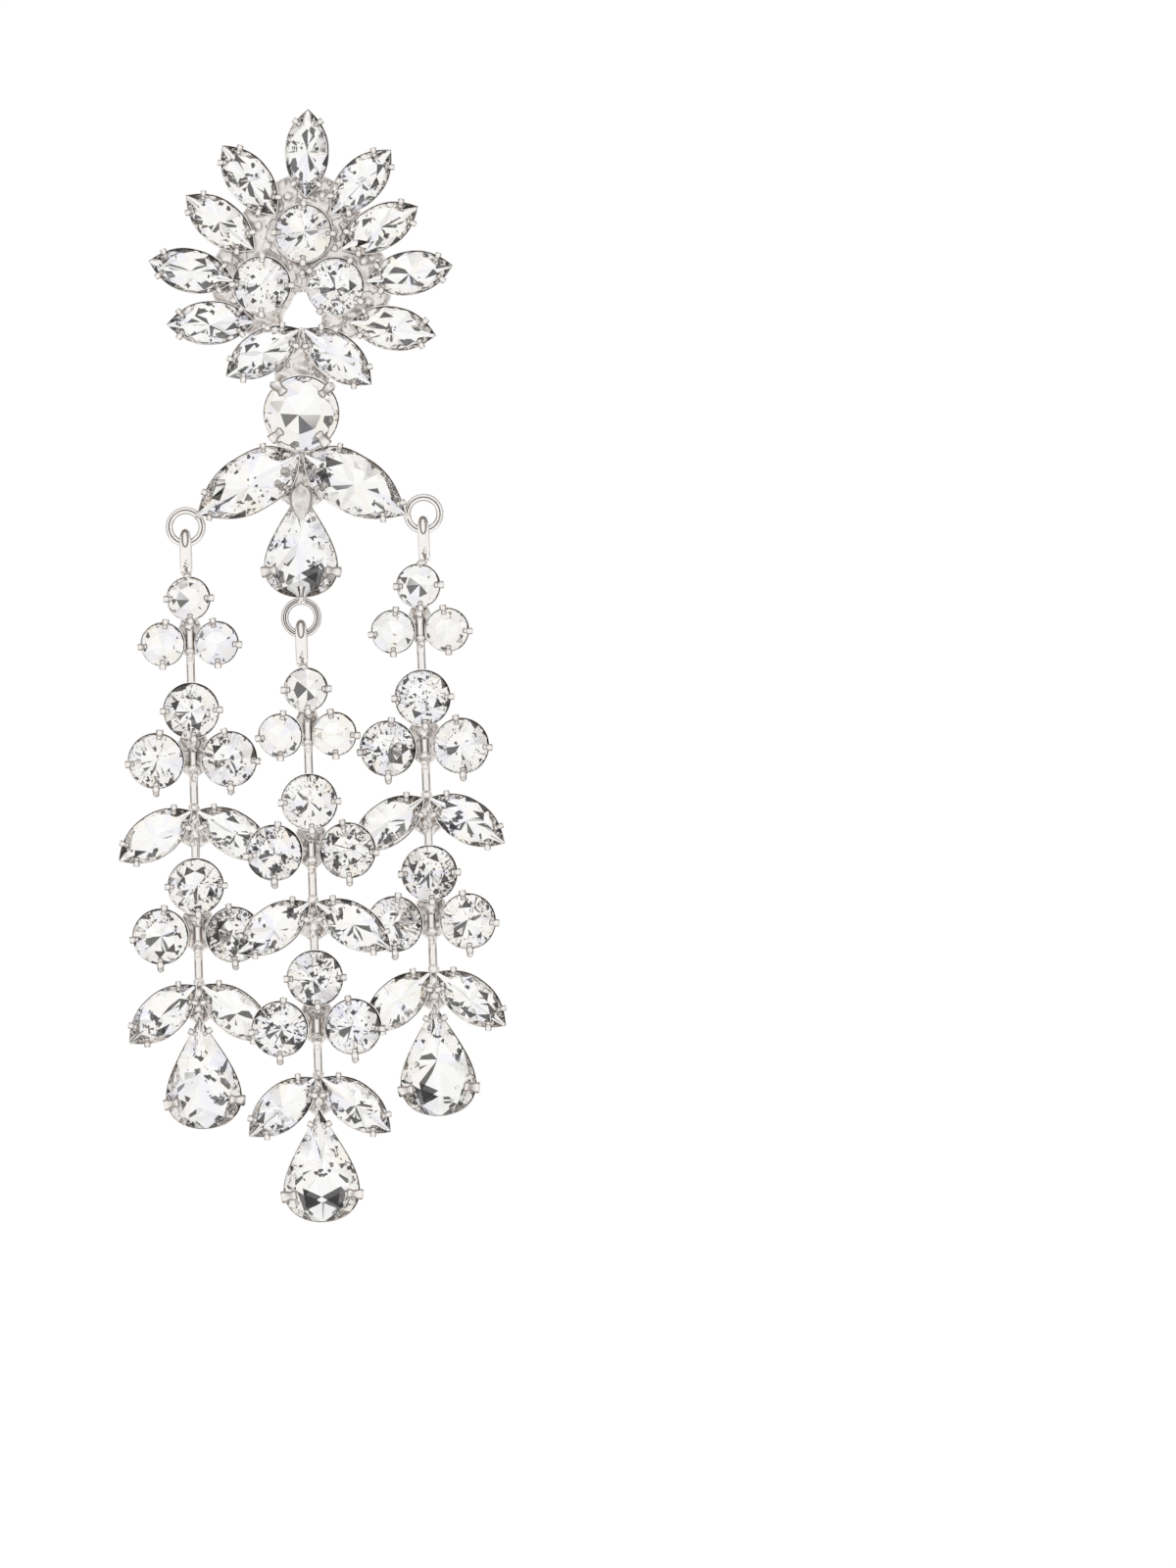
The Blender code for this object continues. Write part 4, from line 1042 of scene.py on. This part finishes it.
def drop(row, pivot):
    """One drop: bail, trios of rounds, pairs of navettes and the pear, with its web and beads."""
    body, _, step, lean, pear_lean = row
    side = body.split("_")[0]
    swing = Swing(*pivot, lean)
    cups, claws, solder, bars = pieces = Piece(), Piece(), Piece(), Piece()
    trios, navettes = [], []
    flat = Place(0.0, 0.0, 0.0, carrier=swing)

    def bead(piece, centre, size, scale, recess, lump=0.08):
        piece.put(swing.row(ball(centre, np.array(size) * scale * MM, lump)), recess)

    def web(corners, middle, seats):
        solder_web(solder, corners, middle, -DROP_BACK, DROP_WEB, flat, seats, rings=16, columns=64)

    def trio(size, gap_between, gap_above, top_up):
        """Three rounds with their web and beads. Returns how far the lower two lie below the top one."""
        offset = (size[1] + gap_between) / 2
        fall = math.sqrt((size[1] + gap_above) ** 2 - offset**2)
        centres = (
            (0.0, 0.0, 180.0, "trio top"),
            (-offset, -fall, 20.0, "trio left"),
            (offset, -fall, -20.0, "trio right"),
        )
        group = [
            Setting(
                "round", size, (step + x, top_up + z), turn, -DROP_BACK, claws_at, swing, simple=size == SMALL_ROUND
            )
            for x, z, turn, claws_at in centres
        ]
        trios.extend(group)
        corners = [(step + x * TRIO_WEB[0], top_up + z * TRIO_WEB[1]) for x, z, *_ in centres]
        corners.insert(2, (step, top_up - fall - TRIO_TAIL * size[1]))
        web(corners, np.mean(corners, axis=0), group)
        scale = size[1] / LARGE_ROUND[1]
        centre = (step, -(group[0].depth - DROP_BACK - 0.6 * MM), top_up - 0.6 * size[1])
        bead(solder, centre, (2 * TRIO_BEAD_RADIUS, 1.3, 2 * TRIO_BEAD_RADIUS), scale, 0.3)
        for height, width in TAIL_BEADS:
            low = (step, -0.3 * MM, top_up - fall - height * size[1])
            bead(solder, low, (width, 1.1, 0.75), scale, 0.35)
        for x, down, grain in TRIO_GRAINS if body == "centre_drop" else TRIO_GRAINS[:3]:
            ahead = 0.65 * math.sqrt(1 - (x**2 + down**2) / TRIO_BEAD_RADIUS**2)
            spot = np.array(centre) + np.array((x, -ahead, -down)) * MM * scale
            bead(bars, spot, GRAIN_SHAPE, grain * scale, GRAIN_DARKNESS, GRAIN_LUMP)
        return fall

    def navette_pair(tip_up, droop):
        """Two navettes with their web and beads. Returns where the stem starts again below them."""
        hold = NAVETTE_HOLD * DROP_NAVETTE[0]
        corners = [(step, tip_up + NAVETTE_WEB_TOP)]
        pair = []
        for hand, axis in ((-1, 180 + droop), (1, -droop)):
            tip = Place(step + hand * NAVETTE_STEP, tip_up, 0.0, axis)
            spot = tip.ahead(DROP_NAVETTE[0] / 2)
            pair.append(Setting("navette", DROP_NAVETTE, spot, axis, -DROP_BACK, swing=swing))
            corners.append(tip.ahead(hold))
        corners.insert(2, (step, tip_up - NAVETTE_WEB_TAIL * hold))
        navettes.extend(pair)
        web(corners, np.array((step, tip_up - NAVETTE_WEB_MIDDLE * hold)), pair)
        centre = (step, -(pair[0].depth - DROP_BACK - 0.35 * MM), tip_up + 0.25 * MM)
        bead(solder, centre, (1.25, 1.1, 1.0), 1.0, 0.2)
        for x, down, size in NAVETTE_BEADS:
            bead(solder, (step + x * MM, -0.25 * MM, tip_up - down * MM), (1.0, 1.1, 1.1), size, 0.6, lump=0.14)
        return tip_up - STEM_UNDER_NAVETTES

    # The stem shows in runs between the cups: each ends just inside a cup's wall, clear of its stone.
    runs = []
    start, level = BAIL_STRIP / 2 - BAIL_REACH, -BAIL_REACH
    for size, gap_between, gap_above, below, droop, neck in TIERS:
        level -= size[1] / 2
        runs.append((start, level + STEM_IN_CUP * size[1]))
        start = level - STEM_IN_CUP * size[1]
        level -= trio(size, gap_between, gap_above, level) + size[1] / 2 + below
        if droop:
            runs.append((start, level))
            start = navette_pair(level, droop)
        level -= neck
    runs.append((start, level - PEAR_HANG - STEM_IN_PEAR))
    axis = 90.0 + pear_lean
    down = Place(step, level - PEAR_HANG, 0.0, axis)
    spot = down.ahead(-DROP_PEAR[0] / 2)
    pear = Setting("pear", DROP_PEAR, spot, axis, -DROP_BACK, swing=swing, tabs_from=PEAR_TABS_FROM)

    for setting in (*trios, *navettes, pear):
        setting.cup(cups)
        setting.all_claws(claws)
    # Painted shade along the sides of the stem's runs, and a little over all of them.
    edges = 0.35 + 0.75 * (np.abs(np.sin(turns(14, 0.5))) > 0.75)
    for top_up, low_up in runs:
        first = 0.0 if top_up > -BAIL_REACH else step
        bars.put(swing.row(bar((first, top_up, 0.0), (step, low_up, 0.0), STEM_RADIUS, 14, 14)), edges)
    # The bail loop takes a little painted shade, and the slot's lip is drawn dark as painted shade in the slot.
    for shape, recess in zip(bail_loop(swing), (0.15, GRAIN_DARKNESS)):
        bars.put(shape, recess, wrap=True)
    face = RING_WIRE / 2 + BAIL_PLAY + 0.96 * BAIL_STRIP
    for x, down, size in BAIL_GRAINS:
        bead(bars, (x * MM, -face + 0.04 * MM, -down * MM), GRAIN_SHAPE, size, GRAIN_DARKNESS, GRAIN_LUMP)

    node = f"{body}_setting"
    metal_made(pieces, [f"{side}_{name}" for name in ("cups", "claws", "solder", "bail_and_stem")], body, node)
    cut_stones(f"{side}_round_gems", trios, body, [node])
    names = [f"{side}_navette_{level}_{hand}" for level in ("upper", "lower") for hand in ("left", "right")]
    cut_stones(f"{side}_navette_gems", navettes, body, names)
    cut_stones(f"{side}_pear_gem", [pear], body, [f"{side}_pear_stone"])


def white_tent():
    """A white tent of light with small dark patches.

    Metal also sees a darker band round the tent, at right angles to the view, and the stones see dark cards.
    """
    world = bpy.data.worlds.new("white_tent")
    bpy.context.scene.world = world
    finish = Finish(world)
    where = finish.where("Generated")
    depth = finish.add("ShaderNodeSeparateXYZ", None, {0: where}, output="Y")
    band = 1.0 - finish.between(abs(depth), 0.1, 0.4)
    spots = finish.add("ShaderNodeTexNoise", None, {"Vector": where, "Scale": 4.4, "Detail": 1.0, "Roughness": 0.4})
    patches = finish.between(spots, 0.63, 0.645)
    cards = 0.0
    for *bearing, angle in CARDS:
        sockets = {0: where, 1: unit(np.array(bearing))}
        facing = finish.add("ShaderNodeVectorMath", {"operation": "DOT_PRODUCT"}, sockets, output="Value")
        limits = (math.cos(math.radians(angle + soft)) for soft in (1, 0))
        cards = finish.between(facing, *limits) + cards
    metal_sees = 1.05 - band * 0.92 - patches * 0.6
    stones_see = 1.0 - patches * 0.9 - cards * 0.9
    through = finish.add("ShaderNodeLightPath", output="Is Transmission Ray")
    light = finish.blend(through, metal_sees, stones_see)
    light = light.maths("MAXIMUM", light, DARKEST)
    strength = finish.blend(finish.add("ShaderNodeLightPath", output="Is Camera Ray"), light, BACKDROP)
    background = finish.add("ShaderNodeBackground", None, {"Color": (1.0, 1.0, 1.0, 1.0), "Strength": strength})
    finish.add("ShaderNodeOutputWorld", None, {"Surface": background})


def studio():
    """The tent, a pale round floor below the view, and a level long-lens camera."""
    white_tent()
    # The floor is a profile of radius and height turned about Z.
    radius, height = np.array(FLOOR).T[:, :, None]
    points, quads, tris = skin(grid(radius * np.cos(turns(64)), radius * np.sin(turns(64)), height))
    mesh = bpy.data.meshes.new("floor")
    mesh.from_pydata(points, [], quads.tolist() + tris.tolist())
    mesh.materials.append(pale_board())
    floor = bpy.data.objects.new("floor", mesh)

    camera = bpy.data.cameras.new("long_lens")
    camera.lens = LENS
    camera.sensor_width = SENSOR
    camera.dof.use_dof = False
    camera.clip_start, camera.clip_end = 0.01, 20.0
    viewer = bpy.data.objects.new("long_lens", camera)
    viewer.location = CAMERA_SPOT
    viewer.rotation_euler = (math.pi / 2, 0.0, 0.0)
    scene = bpy.context.scene
    for item in (floor, viewer):
        scene.collection.objects.link(item)
    scene.camera = viewer
    scene.view_settings.view_transform = "Standard"
    scene.cycles.max_bounces = 16
    scene.cycles.transmission_bounces = 14
    scene.cycles.glossy_bounces = 12
    scene.cycles.caustics_reflective = True
    scene.cycles.caustics_refractive = True
    scene.cycles.use_denoising = True


ear_post()
pivots = top_of_earring()
for row in DROPS:
    drop(row, pivots[row[0]])
studio()
